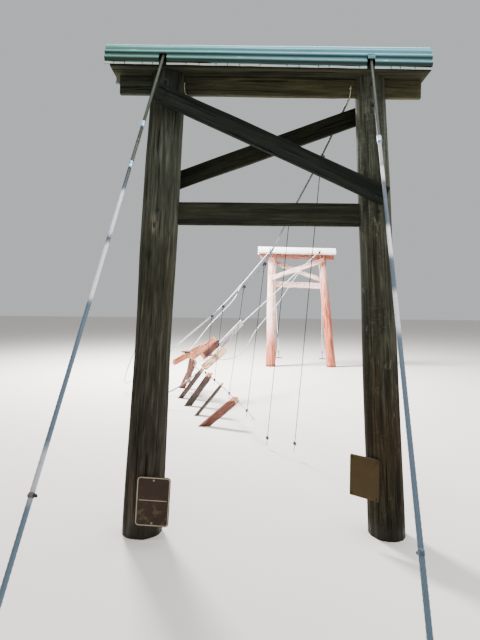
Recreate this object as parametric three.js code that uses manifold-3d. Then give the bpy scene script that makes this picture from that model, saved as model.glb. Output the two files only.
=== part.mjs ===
// Timber and cable suspension footbridge after a flood: two pole towers, two main
// cables over them, and what is left of the deck, dragged downstream on its edge cable.
// Millimetres, +Z up. X runs across each tower, Y from the near bank to the far one,
// and z = 0 is the water line, the lowest place where the posts can be seen.
import * as THREE from 'three';
import { mergeVertices } from 'three/addons/utils/BufferGeometryUtils.js';
import Module from 'manifold-3d';

const wasm = await Module();
wasm.setup();

// Crossing: the far tower's centre, seen from the near tower's centre
const FAR_CENTRE = new THREE.Vector2(1778, 12218);
const FAR_HEAD_DRIFT = -177;
const SEAT_GAP = 0.3;

// Towers
const HEAD_HEIGHT = 3766;
const SPARE_HEAD = 40;
const FOOT_SPREAD = 1025;
const HEAD_SPREAD = 824;
const POST_RADII = { left: { foot: 172, head: 150 }, right: { foot: 163, head: 133 } };
const POST_SIDES = 24;
const BOARD_THICKNESS = 46;
const HEADER = { length: 2470, height: 147, shift: 12 };
const TIE = { bottom: 2559, height: 190, mortise: 40 };
const BRACE = { width: 148, setIn: 24, overrun: 62 };
const FRONT_BRACE = { name: 'brace_front', faceY: -1, upper: 3562, lower: 2800 };
const REAR_BRACE = { name: 'brace_rear', faceY: 1, upper: 3548, lower: 2926 };
const HEAD_FLAT = { height: 315, depth: 42 };

// Hood: corrugated sheet bent over the top plate
const HOOD = {
  length: 2585,
  shift: -15,
  edge: 3773,
  skirt: 50,
  radius: 192,
  corrugations: 10,
  waveDepth: 7,
  thickness: 3,
  pointsPerWave: 6,
};
const CABLE_SLOT = { width: 62, aboveCable: 66, inner: 100, outer: 240 };
// The plate's long edges carry the hood
const PLATE = {
  length: 2535,
  thickness: 45,
  halfWidth: HOOD.radius - 2 * HOOD.waveDepth - HOOD.thickness - SEAT_GAP,
  shift: 2,
};

// Cables
const MAIN_RADIUS = 12;
const WIRE_RADIUS = 8;
const HANGER_RADIUS = 5;
const SADDLE = { strandRadius: 178, centre: 3776, width: 90, halfLength: 150, grooveDepth: 8 };
const STAY_RUN = 2886;
const STAY_SPLAY = 764;
const ANCHOR = { plate: 240, thickness: 16, rodRadius: 13, rodLength: 300, socketRadius: 24, socketLength: 110 };
const SPLICE = { fraction: 0.23, radius: 20, length: 130 };
const STAY_CLIP = { fraction: { left: 0.722, right: 0.748 }, radius: 17, length: 36, lug: 32 };
const CLAMP = { radius: 22, length: 46 };
const LOWER_CLIP = { radius: 17, length: 42 };

const point = (x, y, z) => new THREE.Vector3(x, y, z);

// Where the right main cable passes between its saddles: six hangers, then the low
// loop that the flood has pulled down to the water, then the straight far half
const RIGHT_HANGERS_TOP = [
  point(600, 1000, 3460),
  point(364, 1900, 3020),
  point(113, 3000, 2553),
  point(-180, 4000, 2270),
  point(-563, 4900, 1948),
  point(-810, 5600, 1766),
];
const RIGHT_HANGERS_BOTTOM = [
  point(470, 2000, 200),
  point(150, 2450, 150),
  point(-120, 3100, 380),
  point(-410, 4000, 480),
  point(-710, 4900, 573),
  point(-930, 5600, 614),
];
const RIGHT_LOW_LOOP = [
  point(-1750, 6600, 1000),
  point(-2250, 6700, 450),
  point(-2500, 6200, 200),
  point(-2250, 5500, 150),
  point(-1700, 5100, 260),
  point(-1300, 4980, 480),
];
const RIGHT_FAR_HALF = [
  point(-930, 5400, 795),
  point(-445, 6600, 1352),
  point(380, 8400, 2100),
  point(1510, 10500, 3116),
];
const LEFT_HANGERS_TOP = [
  point(-1090, 1000, 3460),
  point(-1330, 1900, 3030),
  point(-1560, 3000, 2580),
  point(-1760, 4000, 2290),
  point(-2010, 4900, 1990),
];
const LEFT_HANGERS_BOTTOM = [
  point(-1230, 1250, 240),
  point(-1450, 1950, 300),
  point(-1740, 3000, 400),
  point(-1940, 4000, 500),
  point(-2150, 4900, 570),
];
const LEFT_LOW_LOOP = [
  point(-2180, 5600, 1800),
  point(-2450, 6300, 1150),
  point(-2750, 6600, 500),
  point(-2850, 6950, 190),
  point(-2450, 7230, 430),
];
const LEFT_FAR_HALF = [
  point(-2000, 7300, 800),
  point(-1500, 7500, 1250),
  point(-940, 8000, 1760),
  point(-290, 9600, 2550),
];

// The deck's edge cables: each from its clamp on a main cable, down to the torn deck
// and back along the lower ends of the hangers to where it broke
const RIGHT_EDGE = [
  point(1045, 9500, 2480),
  point(707, 8700, 2040),
  point(137, 7300, 1437),
  point(-280, 5800, 943),
  point(-770, 6600, 770),
  point(-1150, 7250, 680),
  point(-1330, 7300, 640),
  point(-1290, 6950, 600),
  point(-1060, 6050, 595),
  ...RIGHT_HANGERS_BOTTOM.slice(2).reverse(),
  point(-40, 2850, 330),
];
const LEFT_EDGE = [
  point(-420, 9230, 2220),
  point(-1031, 7900, 1486),
  point(-1476, 7000, 889),
  point(-1900, 6350, 640),
  point(-2200, 5600, 600),
  ...LEFT_HANGERS_BOTTOM.slice(1).reverse(),
  point(-1380, 1700, 270),
];

// Deck boards that are left, each from where it meets the water to the cable it hangs
// on, with its twist about its own length
const DECK_BOARD = { width: 140, thickness: 40, pastCable: 90, underWater: 160 };
const DECK_BOARDS = [
  { foot: point(-1640, 7480, 0), near: point(-1330, 7300, 640), twist: 20 },
  { foot: point(-1500, 6150, 0), near: point(-1060, 6050, 595), twist: 60 },
  { foot: point(-1250, 5330, 0), near: point(-830, 5280, 596), twist: 35 },
  { foot: point(-1000, 4500, 0), near: point(-570, 4480, 530), twist: 75 },
  { foot: point(-800, 3680, 0), near: point(-300, 3620, 442), twist: 25 },
];

// Torn deck: a floor beam on edge that still hangs between the edge cables, and the
// planks that are nailed to it
const FLOOR_BEAM = { start: point(-740, 5690, 955), end: point(-1560, 7090, 915), twist: 90 };
const TORN_PLANKS = [
  { start: point(-800, 6850, 1225), end: point(-1300, 5870, 848), twist: 8 },
  { start: point(-690, 6550, 1190), end: point(-1010, 5500, 915), twist: -6 },
  { start: point(-560, 6380, 1030), end: point(-940, 5130, 765), twist: 14 },
  { start: point(-1150, 7330, 1010), end: point(-1740, 6480, 690), twist: -20 },
  { start: point(-1230, 6100, 985), end: point(-1450, 6950, 190), twist: 30 },
];
const LOOSE_PLANK = { start: point(-680, 6020, 1112), end: point(-220, 7100, 1592), twist: 28 };

// Signs on the near posts
const SIGN_PLATE = { width: 273, height: 400, thickness: 6, top: 517, sideways: 104 };
const NOTICE_BOARD = { width: 262, height: 340, thickness: 24, top: 667, bearing: 41, sideways: -83 };

const material = (color, roughness, metalness) => new THREE.MeshStandardMaterial({ color, roughness, metalness });
const SHADED_TIMBER = [0x4a443d, 0.9, 0];
const SUNLIT_TIMBER = [0xa8705c, 0.85, 0];
const DECK_TIMBER = [0x94604e, 0.85, 0];
const GALVANISED_SHEET = [0x9fc0c4, 0.45, 0.7];
const GALVANISED_STRAND = [0x8d9aa3, 0.5, 0.7];
const ANCHOR_STEEL = [0x6c6660, 0.6, 0.6];
const SIGN_BROWN = [0x5a3d2c, 0.7, 0];

const bridge = new THREE.Group();

function addPiece(name, geometry, finish) {
  const mesh = new THREE.Mesh(geometry, material(...finish));
  mesh.name = name;
  bridge.add(mesh);
  return mesh;
}

// A closed geometry as a solid that can be joined and cut
function solidOf(geometry) {
  const bare = geometry.clone();
  bare.deleteAttribute('normal');
  bare.deleteAttribute('uv');
  const merged = mergeVertices(bare, 1e-3);
  return new wasm.Manifold(new wasm.Mesh({
    numProp: 3,
    vertProperties: new Float32Array(merged.attributes.position.array),
    triVerts: new Uint32Array(merged.index.array),
  }));
}

function geometryOf(solid) {
  const mesh = solid.getMesh();
  const geometry = new THREE.BufferGeometry();
  geometry.setAttribute('position', new THREE.BufferAttribute(new Float32Array(mesh.vertProperties), 3));
  geometry.setIndex(new THREE.BufferAttribute(new Uint32Array(mesh.triVerts), 1));
  geometry.computeVertexNormals();
  return geometry;
}

// A box between two opposite corners
function block(low, high) {
  const size = high.clone().sub(low);
  const centre = low.clone().add(high).multiplyScalar(0.5);
  return new THREE.BoxGeometry(size.x, size.y, size.z).translate(centre.x, centre.y, centre.z);
}

// A board from start to end: its width stands square to faceNormal, its thickness lies along it
function board(start, end, width, thickness, faceNormal, twist = 0) {
  const along = end.clone().sub(start);
  const length = along.length();
  along.normalize();
  const across = faceNormal.clone().cross(along).normalize().applyAxisAngle(along, THREE.MathUtils.degToRad(twist));
  const normal = along.clone().cross(across);
  const placing = new THREE.Matrix4().makeBasis(along, across, normal);
  placing.setPosition(start.clone().add(end).multiplyScalar(0.5));
  return new THREE.BoxGeometry(length, width, thickness).applyMatrix4(placing);
}

// A round bar between two points
function rod(start, end, radius, sides = 10) {
  const along = end.clone().sub(start);
  const turn = new THREE.Quaternion().setFromUnitVectors(point(0, 1, 0), along.clone().normalize());
  const centre = start.clone().add(end).multiplyScalar(0.5);
  return new THREE.CylinderGeometry(radius, radius, along.length(), sides)
    .applyQuaternion(turn)
    .translate(centre.x, centre.y, centre.z);
}

// A path that has one section at each of its points, so that bends get the sections
class StrandPath extends THREE.Curve {
  constructor(points) {
    super();
    this.points = points;
  }

  getPoint(t) {
    const place = t * (this.points.length - 1);
    const index = Math.min(Math.floor(place), this.points.length - 2);
    return this.points[index].clone().lerp(this.points[index + 1], place - index);
  }

  getPointAt(u) {
    return this.getPoint(u);
  }

  getTangentAt(u) {
    const last = this.points.length - 1;
    const index = Math.round(u * last);
    const before = this.points[Math.max(index - 1, 0)];
    const after = this.points[Math.min(index + 1, last)];
    return after.clone().sub(before).normalize();
  }
}

function strand(points, radius, sides = 8) {
  const outline = [];
  for (let side = 0; side < sides; side += 1) {
    const angle = (2 * Math.PI * side) / sides;
    outline.push(new THREE.Vector2(radius * Math.cos(angle), radius * Math.sin(angle)));
  }
  return new THREE.ExtrudeGeometry(new THREE.Shape(outline), {
    extrudePath: new StrandPath(points),
    steps: points.length - 1,
    bevelEnabled: false,
  });
}

// Towers
const postAxisX = (side, height) => side * (FOOT_SPREAD + ((HEAD_SPREAD - FOOT_SPREAD) * height) / HEAD_HEIGHT);
const headDrift = (tower, height) => (tower.headDrift * height) / HEAD_HEIGHT;

function postRadius(radii, height) {
  return radii.foot + ((radii.head - radii.foot) * height) / HEAD_HEIGHT;
}

// Leaning, tapered pole, a little too long
function postBlank(tower, side, radii) {
  const height = HEAD_HEIGHT + SPARE_HEAD;
  const pole = new THREE.CylinderGeometry(postRadius(radii, height), radii.foot, height, POST_SIDES);
  pole.rotateX(Math.PI / 2).translate(0, 0, height / 2);
  const footX = tower.centre.x + postAxisX(side, 0);
  const headX = tower.centre.x + postAxisX(side, HEAD_HEIGHT) + tower.headDrift;
  const lean = (headX - footX) / HEAD_HEIGHT;
  return pole.applyMatrix4(new THREE.Matrix4().set(1, 0, lean, footX, 0, 1, 0, tower.centre.y, 0, 0, 1, 0, 0, 0, 0, 1));
}

// Turned clockwise, seen from the near bank, about a point of the tower's middle line
function tilted(geometry, tower, height, degrees) {
  const x = tower.centre.x + headDrift(tower, height);
  return geometry.translate(-x, 0, -height).rotateY(THREE.MathUtils.degToRad(degrees)).translate(x, 0, height);
}

const headTilted = (geometry, tower) => tilted(geometry, tower, HEAD_HEIGHT, tower.headTilt);

function headerBlock(tower, gap) {
  const middle = point(tower.centre.x + tower.headDrift + HEADER.shift, tower.centre.y, 0);
  const half = HEADER.length / 2 + gap;
  const halfThick = BOARD_THICKNESS / 2 + gap;
  return headTilted(block(
    middle.clone().add(point(-half, -halfThick, HEAD_HEIGHT - HEADER.height - gap)),
    middle.clone().add(point(half, halfThick, HEAD_HEIGHT + gap)),
  ), tower);
}

// What is cut off the poles so that the top plate lies flat on them
function headCut(tower) {
  const reach = point(PLATE.length, 2 * PLATE.halfWidth, 0);
  const middle = point(tower.centre.x + tower.headDrift, tower.centre.y, HEAD_HEIGHT);
  return headTilted(block(
    middle.clone().sub(reach),
    middle.clone().add(reach).add(point(0, 0, 4 * SPARE_HEAD)),
  ), tower);
}

function tieBlock(tower, gap) {
  const middleHeight = TIE.bottom + TIE.height / 2 + tower.tieRise;
  const reach = (side, radii) => postAxisX(side, middleHeight) - side * (postRadius(radii, middleHeight) - TIE.mortise);
  const middle = point(tower.centre.x + headDrift(tower, middleHeight), tower.centre.y, middleHeight);
  const beam = block(
    middle.clone().add(point(reach(-1, POST_RADII.left) - gap, -BOARD_THICKNESS / 2 - gap, -TIE.height / 2 - gap)),
    middle.clone().add(point(reach(1, POST_RADII.right) + gap, BOARD_THICKNESS / 2 + gap, TIE.height / 2 + gap)),
  );
  return tilted(beam, tower, middleHeight, tower.tieTilt);
}

// One diagonal, let into the front or the rear face of the posts, from its upper post to the other
function braceBoard(tower, brace, gap) {
  const y = tower.centre.y + brace.faceY * (POST_RADII.left.head - BRACE.setIn + BOARD_THICKNESS / 2);
  const upperSide = -brace.faceY * tower.frontBraceTop;
  const onPost = (side, height) => point(
    tower.centre.x + postAxisX(side, height) + headDrift(tower, height),
    y,
    height,
  );
  const upper = onPost(upperSide, brace.upper);
  const lower = onPost(-upperSide, brace.lower + (brace === FRONT_BRACE ? tower.frontBraceRise : 0));
  const along = lower.clone().sub(upper).normalize().multiplyScalar(BRACE.overrun + gap);
  return board(
    upper.sub(along),
    lower.add(along),
    BRACE.width + 2 * gap,
    BOARD_THICKNESS + 2 * gap,
    point(0, 1, 0),
  );
}

function hoodProfile() {
  const arcLength = Math.PI * HOOD.radius;
  const sheetLength = arcLength + 2 * HOOD.skirt;
  const middleRadius = HOOD.radius - HOOD.waveDepth - HOOD.thickness / 2;
  const count = HOOD.corrugations * HOOD.pointsPerWave;
  const outer = [];
  const inner = [];
  for (let index = 0; index <= count; index += 1) {
    const along = (sheetLength * index) / count;
    const onArc = Math.min(Math.max(along - HOOD.skirt, 0), arcLength) / HOOD.radius;
    const belowArc = Math.max(HOOD.skirt - along, along - HOOD.skirt - arcLength, 0);
    const out = new THREE.Vector2(-Math.cos(onArc), Math.sin(onArc));
    const wave = -HOOD.waveDepth * Math.cos((2 * Math.PI * index) / HOOD.pointsPerWave);
    const place = (radius) => new THREE.Vector2(
      out.x * radius,
      out.y * radius - belowArc + HOOD.edge + HOOD.skirt,
    );
    outer.push(place(middleRadius + wave + HOOD.thickness / 2));
    inner.push(place(middleRadius + wave - HOOD.thickness / 2));
  }
  return new THREE.Shape([...outer, ...inner.reverse()]);
}

// The hood is drawn in Y and Z and drawn out along X
function hoodSheet(tower) {
  const sheet = new THREE.ExtrudeGeometry(hoodProfile(), { depth: HOOD.length, bevelEnabled: false });
  const toWorld = new THREE.Matrix4().set(0, 0, 1, 0, 1, 0, 0, 0, 0, 1, 0, 0, 0, 0, 0, 1);
  sheet.applyMatrix4(toWorld);
  const start = tower.centre.x + tower.headDrift + HOOD.shift - HOOD.length / 2;
  return headTilted(sheet.translate(start, tower.centre.y, 0), tower);
}

// Open-bottomed slot in one side of the hood, around the place where a cable passes it
function hoodSlot(tower, path, faceY) {
  const passing = whereCrossing(path, tower.centre.y + faceY * HOOD.radius);
  const inner = tower.centre.y + faceY * CABLE_SLOT.inner;
  const outer = tower.centre.y + faceY * CABLE_SLOT.outer;
  return block(
    point(passing.x - CABLE_SLOT.width / 2, Math.min(inner, outer), HOOD.edge - 60),
    point(passing.x + CABLE_SLOT.width / 2, Math.max(inner, outer), passing.z + CABLE_SLOT.aboveCable),
  );
}

// The point of a path that is level with a given Y
function whereCrossing(path, y) {
  const after = path.findIndex((place, index) => index > 0 && (place.y - y) * (path[index - 1].y - y) <= 0);
  const before = path[after - 1];
  const share = (y - before.y) / (path[after].y - before.y);
  return before.clone().lerp(path[after], share);
}

// Half-round block that the main cable bends over
function saddleBlock(tower, side) {
  const radius = SADDLE.strandRadius - MAIN_RADIUS + SADDLE.grooveDepth;
  const base = HEAD_HEIGHT + PLATE.thickness + 2 * SEAT_GAP;
  const span = Math.asin(SADDLE.halfLength / radius);
  const outline = new THREE.Shape();
  outline.moveTo(-SADDLE.halfLength, base);
  outline.absarc(0, SADDLE.centre, radius, Math.PI / 2 + span, Math.PI / 2 - span, true);
  outline.lineTo(SADDLE.halfLength, base);
  outline.closePath();
  const shape = new THREE.ExtrudeGeometry(outline, { depth: SADDLE.width, bevelEnabled: false, curveSegments: 20 });
  const toWorld = new THREE.Matrix4().set(0, 0, 1, 0, 1, 0, 0, 0, 0, 1, 0, 0, 0, 0, 0, 1);
  shape.applyMatrix4(toWorld);
  return headTilted(shape.translate(saddleX(tower, side) - SADDLE.width / 2, tower.centre.y, 0), tower);
}

const saddleX = (tower, side) => tower.centre.x + tower.headDrift + side * HEAD_SPREAD;
const saddleCentre = (tower, side) => point(
  saddleX(tower, side),
  tower.centre.y,
  SADDLE.centre - side * HEAD_SPREAD * Math.sin(THREE.MathUtils.degToRad(tower.headTilt)),
);

// Cables
const crossingDirection = point(FAR_CENTRE.x, FAR_CENTRE.y, 0).normalize();
const crossingSide = point(crossingDirection.y, -crossingDirection.x, 0);

const NEAR = {
  name: 'near',
  centre: point(0, 0, 0),
  headDrift: 0,
  headTilt: 0.5,
  tieTilt: 0,
  tieRise: 0,
  landY: -1,
  frontBraceTop: -1,
  frontBraceRise: 0,
  anchorShift: { left: 20, right: 11 },
};
const FAR = {
  name: 'far',
  centre: point(FAR_CENTRE.x, FAR_CENTRE.y, 0),
  headDrift: FAR_HEAD_DRIFT,
  headTilt: 0.9,
  tieTilt: 1.8,
  tieRise: 98,
  landY: 1,
  frontBraceTop: 1,
  frontBraceRise: 180,
  anchorShift: { left: -175, right: 0 },
};
const SIDES = { left: -1, right: 1 };

function anchorFoot(tower, side) {
  return tower.centre.clone()
    .addScaledVector(crossingDirection, tower.landY * STAY_RUN)
    .addScaledVector(crossingSide, side * STAY_SPLAY)
    .add(point(side < 0 ? tower.anchorShift.left : tower.anchorShift.right, 0, 0));
}

// How the main cable leaves a saddle towards a point: its level direction and its fall
function leaveSaddle(tower, side, target) {
  const centre = saddleCentre(tower, side);
  const level = target.clone().sub(centre).setZ(0);
  const drop = centre.z - target.z;
  const distance = level.length();
  const fall = Math.atan2(drop, distance) + Math.asin(SADDLE.strandRadius / Math.hypot(drop, distance));
  return { centre, direction: level.normalize(), fall };
}

function onSaddle(leave, angle) {
  return leave.centre.clone()
    .addScaledVector(leave.direction, SADDLE.strandRadius * Math.sin(angle))
    .add(point(0, 0, SADDLE.strandRadius * Math.cos(angle)));
}

// Points over a saddle from the land side to the span side
function overSaddle(tower, side, spanPoint) {
  const land = leaveSaddle(tower, side, anchorFoot(tower, side));
  const span = leaveSaddle(tower, side, spanPoint);
  const stepsPerSide = 5;
  const points = [];
  for (let step = stepsPerSide; step > 0; step -= 1) {
    points.push(onSaddle(land, (land.fall * step) / stepsPerSide));
  }
  for (let step = 0; step <= stepsPerSide; step += 1) {
    points.push(onSaddle(span, (span.fall * step) / stepsPerSide));
  }
  return points;
}

// The land side stay, as fractions of the way from its saddle to its anchor
function stayLine(tower, side) {
  const foot = anchorFoot(tower, side);
  const leave = leaveSaddle(tower, side, foot);
  const top = onSaddle(leave, leave.fall);
  return (fraction) => top.clone().lerp(foot, fraction);
}

function smooth(points, perSpan) {
  const curve = new THREE.CatmullRomCurve3(points, false, 'centripetal');
  return curve.getPoints((points.length - 1) * perSpan);
}

function mainCablePoints(side, spanPoints) {
  const nearEnd = stayLine(NEAR, side)(SPLICE.fraction);
  const farEnd = stayLine(FAR, side)(SPLICE.fraction);
  const nearSaddle = overSaddle(NEAR, side, spanPoints[0]);
  const farSaddle = overSaddle(FAR, side, spanPoints.at(-1)).reverse();
  const between = smooth([nearSaddle.at(-1), ...spanPoints, farSaddle[0]], 4);
  return [nearEnd, ...nearSaddle, ...between.slice(1, -1), ...farSaddle, farEnd];
}

const MAIN_PATHS = {
  left: mainCablePoints(-1, [...LEFT_HANGERS_TOP, ...LEFT_LOW_LOOP, ...LEFT_FAR_HALF]),
  right: mainCablePoints(1, [...RIGHT_HANGERS_TOP, ...RIGHT_LOW_LOOP, ...RIGHT_FAR_HALF]),
};
// The room a cable needs in the pieces that hold it: a little wider and longer than the cable
function clearance(path, radius) {
  const stretched = (end, next) => end.clone().add(end.clone().sub(next).setLength(SEAT_GAP));
  const points = [stretched(path[0], path[1]), ...path.slice(1, -1), stretched(path.at(-1), path.at(-2))];
  return solidOf(strand(points, radius + SEAT_GAP));
}

const MAIN_CLEARANCE = {
  left: clearance(MAIN_PATHS.left, MAIN_RADIUS),
  right: clearance(MAIN_PATHS.right, MAIN_RADIUS),
};
const EDGE_DROP = point(0, 0, CLAMP.radius + 8);
const EDGE_STARTS = { left: LEFT_FAR_HALF[3], right: RIGHT_FAR_HALF[3] };
const edgePath = (start, points) => smooth([start.clone().sub(EDGE_DROP), ...points], 3);
const EDGE_PATHS = {
  left: edgePath(EDGE_STARTS.left, LEFT_EDGE),
  right: edgePath(EDGE_STARTS.right, RIGHT_EDGE),
};
const EDGE_CLEARANCE = {
  left: clearance(EDGE_PATHS.left, WIRE_RADIUS),
  right: clearance(EDGE_PATHS.right, WIRE_RADIUS),
};

function nearestDirection(path, place) {
  let best = 1;
  for (let index = 1; index < path.length - 1; index += 1) {
    if (path[index].distanceTo(place) < path[best].distanceTo(place)) {
      best = index;
    }
  }
  return path[best + 1].clone().sub(path[best - 1]).normalize();
}

function clampAround(path, place, size) {
  const half = nearestDirection(path, place).multiplyScalar(size.length / 2);
  return solidOf(rod(place.clone().sub(half), place.clone().add(half), size.radius, 12));
}

function buildTower(tower) {
  const braces = [FRONT_BRACE, REAR_BRACE];
  const timber = tower === NEAR ? SHADED_TIMBER : SUNLIT_TIMBER;
  for (const [sideName, side] of Object.entries(SIDES)) {
    let post = solidOf(postBlank(tower, side, POST_RADII[sideName]));
    post = post.subtract(solidOf(headCut(tower)));
    post = post.subtract(solidOf(headerBlock(tower, SEAT_GAP)));
    post = post.subtract(solidOf(tieBlock(tower, SEAT_GAP)));
    for (const brace of braces) {
      post = post.subtract(solidOf(braceBoard(tower, brace, SEAT_GAP)));
    }
    if (side !== tower.frontBraceTop) {
      post = post.subtract(headFlat(tower, side, POST_RADII[sideName]));
    }
    addPiece(`${tower.name}_post_${sideName}`, geometryOf(post), timber);
  }
  addPiece(`${tower.name}_header`, headerBlock(tower, 0), timber);
  addPiece(`${tower.name}_tie_beam`, tieBlock(tower, 0), timber);
  for (const brace of braces) {
    addPiece(`${tower.name}_${brace.name}`, braceBoard(tower, brace, 0), timber);
  }
  const middleX = tower.centre.x + tower.headDrift + PLATE.shift;
  const plateBase = HEAD_HEIGHT + SEAT_GAP;
  addPiece(`${tower.name}_top_plate`, headTilted(block(
    point(middleX - PLATE.length / 2, tower.centre.y - PLATE.halfWidth, plateBase),
    point(middleX + PLATE.length / 2, tower.centre.y + PLATE.halfWidth, plateBase + PLATE.thickness),
  ), tower), timber);
  buildHoodAndSaddles(tower, timber);
}

// Flat cut on the front of the head that has no brace end there
function headFlat(tower, side, radii) {
  const x = tower.centre.x + postAxisX(side, HEAD_HEIGHT) + tower.headDrift;
  const faceY = tower.centre.y - radii.head + HEAD_FLAT.depth;
  return solidOf(block(
    point(x - 2 * radii.head, faceY - radii.head, HEAD_HEIGHT - HEAD_FLAT.height),
    point(x + 2 * radii.head, faceY, HEAD_HEIGHT + 2 * SPARE_HEAD),
  ));
}

function buildHoodAndSaddles(tower, timber) {
  let hood = solidOf(hoodSheet(tower));
  for (const [sideName, side] of Object.entries(SIDES)) {
    for (const faceY of [-1, 1]) {
      hood = hood.subtract(solidOf(hoodSlot(tower, MAIN_PATHS[sideName], faceY)));
    }
    const saddle = solidOf(saddleBlock(tower, side)).subtract(MAIN_CLEARANCE[sideName]);
    addPiece(`${tower.name}_saddle_${sideName}`, geometryOf(saddle), timber);
  }
  addPiece(`${tower.name}_hood`, geometryOf(hood), GALVANISED_SHEET);
}

function buildStay(tower, sideName, side) {
  const along = stayLine(tower, side);
  const foot = anchorFoot(tower, side);
  const down = foot.clone().sub(along(0)).normalize();
  const rodTop = foot.clone().addScaledVector(down, -ANCHOR.rodLength);
  const socketTop = rodTop.clone().addScaledVector(down, -ANCHOR.socketLength);
  const plateLow = foot.clone().add(point(-ANCHOR.plate / 2, -ANCHOR.plate / 2, 0));
  const plateHigh = foot.clone().add(point(ANCHOR.plate / 2, ANCHOR.plate / 2, ANCHOR.thickness));
  const rodFoot = foot.clone().addScaledVector(down, -ANCHOR.thickness);
  const anchor = solidOf(block(plateLow, plateHigh))
    .add(solidOf(rod(rodFoot, rodTop, ANCHOR.rodRadius, 12)))
    .add(solidOf(rod(rodTop.clone().addScaledVector(down, 5), socketTop, ANCHOR.socketRadius, 12)));
  addPiece(`${tower.name}_anchor_${sideName}`, geometryOf(anchor), ANCHOR_STEEL);

  const splice = along(SPLICE.fraction);
  const stayTop = splice.clone().addScaledVector(down, SEAT_GAP);
  const stayFoot = socketTop.clone().addScaledVector(down, -SEAT_GAP);
  const sleeve = solidOf(rod(
    splice.clone().addScaledVector(down, -SPLICE.length / 2),
    splice.clone().addScaledVector(down, SPLICE.length / 2),
    SPLICE.radius,
    12,
  )).subtract(MAIN_CLEARANCE[sideName]);
  const clipPlace = along(STAY_CLIP.fraction[sideName]);
  const clip = rod(
    clipPlace.clone().addScaledVector(down, -STAY_CLIP.length / 2),
    clipPlace.clone().addScaledVector(down, STAY_CLIP.length / 2),
    STAY_CLIP.radius,
    12,
  );
  const lug = board(
    clipPlace,
    clipPlace.clone().add(point(-side * STAY_CLIP.lug, 0, 0)),
    STAY_CLIP.length * 0.6,
    STAY_CLIP.radius,
    down,
  );
  const stay = solidOf(rod(stayTop, stayFoot, MAIN_RADIUS, 8))
    .add(sleeve)
    .add(solidOf(clip))
    .add(solidOf(lug));
  addPiece(`${tower.name}_stay_${sideName}`, geometryOf(stay), GALVANISED_STRAND);
}

function buildHanger(name, sideName, top, bottom, holdsEdge) {
  const down = bottom.clone().sub(top).normalize();
  const rodTop = top.clone().addScaledVector(down, CLAMP.radius - 6);
  let hanger = clampAround(MAIN_PATHS[sideName], top, CLAMP);
  hanger = hanger.add(solidOf(rod(rodTop, bottom, HANGER_RADIUS, 8))).subtract(MAIN_CLEARANCE[sideName]);
  const half = point(0, 0, LOWER_CLIP.length / 2);
  hanger = hanger.add(solidOf(rod(bottom.clone().add(half), bottom.clone().sub(half), LOWER_CLIP.radius, 10)));
  if (holdsEdge) {
    hanger = hanger.subtract(EDGE_CLEARANCE[sideName]);
  }
  addPiece(name, geometryOf(hanger), GALVANISED_STRAND);
}

function buildEdgeCable(sideName) {
  const start = EDGE_STARTS[sideName];
  const path = EDGE_PATHS[sideName];
  const clamp = clampAround(MAIN_PATHS[sideName], start, CLAMP)
    .add(solidOf(rod(start, path[0], WIRE_RADIUS * 1.6, 10)))
    .subtract(MAIN_CLEARANCE[sideName]);
  addPiece(`edge_cable_${sideName}`, geometryOf(solidOf(strand(path, WIRE_RADIUS)).add(clamp)), GALVANISED_STRAND);
}

const plankSolid = (start, end, twist) => solidOf(
  board(start, end, DECK_BOARD.width, DECK_BOARD.thickness, point(0, 1, 0), twist),
);

// A plank that hangs on the right edge cable and trails in the water
function buildTrailingPlank(name, spec) {
  const along = spec.near.clone().sub(spec.foot).normalize();
  const start = spec.foot.clone().addScaledVector(along, -DECK_BOARD.underWater);
  const end = spec.near.clone().addScaledVector(along, DECK_BOARD.pastCable);
  const reach = 500;
  const water = solidOf(block(
    point(spec.foot.x - reach, spec.foot.y - reach, -reach),
    point(spec.foot.x + reach, spec.foot.y + reach, 0),
  ));
  const plank = plankSolid(start, end, spec.twist).subtract(water).subtract(EDGE_CLEARANCE.right);
  addPiece(name, geometryOf(plank), DECK_TIMBER);
}

function buildTornDeck() {
  let deck = plankSolid(FLOOR_BEAM.start, FLOOR_BEAM.end, FLOOR_BEAM.twist);
  for (const plank of TORN_PLANKS) {
    deck = deck.add(plankSolid(plank.start, plank.end, plank.twist));
  }
  for (const room of [MAIN_CLEARANCE.left, MAIN_CLEARANCE.right, EDGE_CLEARANCE.left, EDGE_CLEARANCE.right]) {
    deck = deck.subtract(room);
  }
  addPiece('torn_deck', geometryOf(deck), DECK_TIMBER);
  const loose = plankSolid(LOOSE_PLANK.start, LOOSE_PLANK.end, LOOSE_PLANK.twist).subtract(MAIN_CLEARANCE.right);
  addPiece('deck_board_6', geometryOf(loose), DECK_TIMBER);
}

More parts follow.
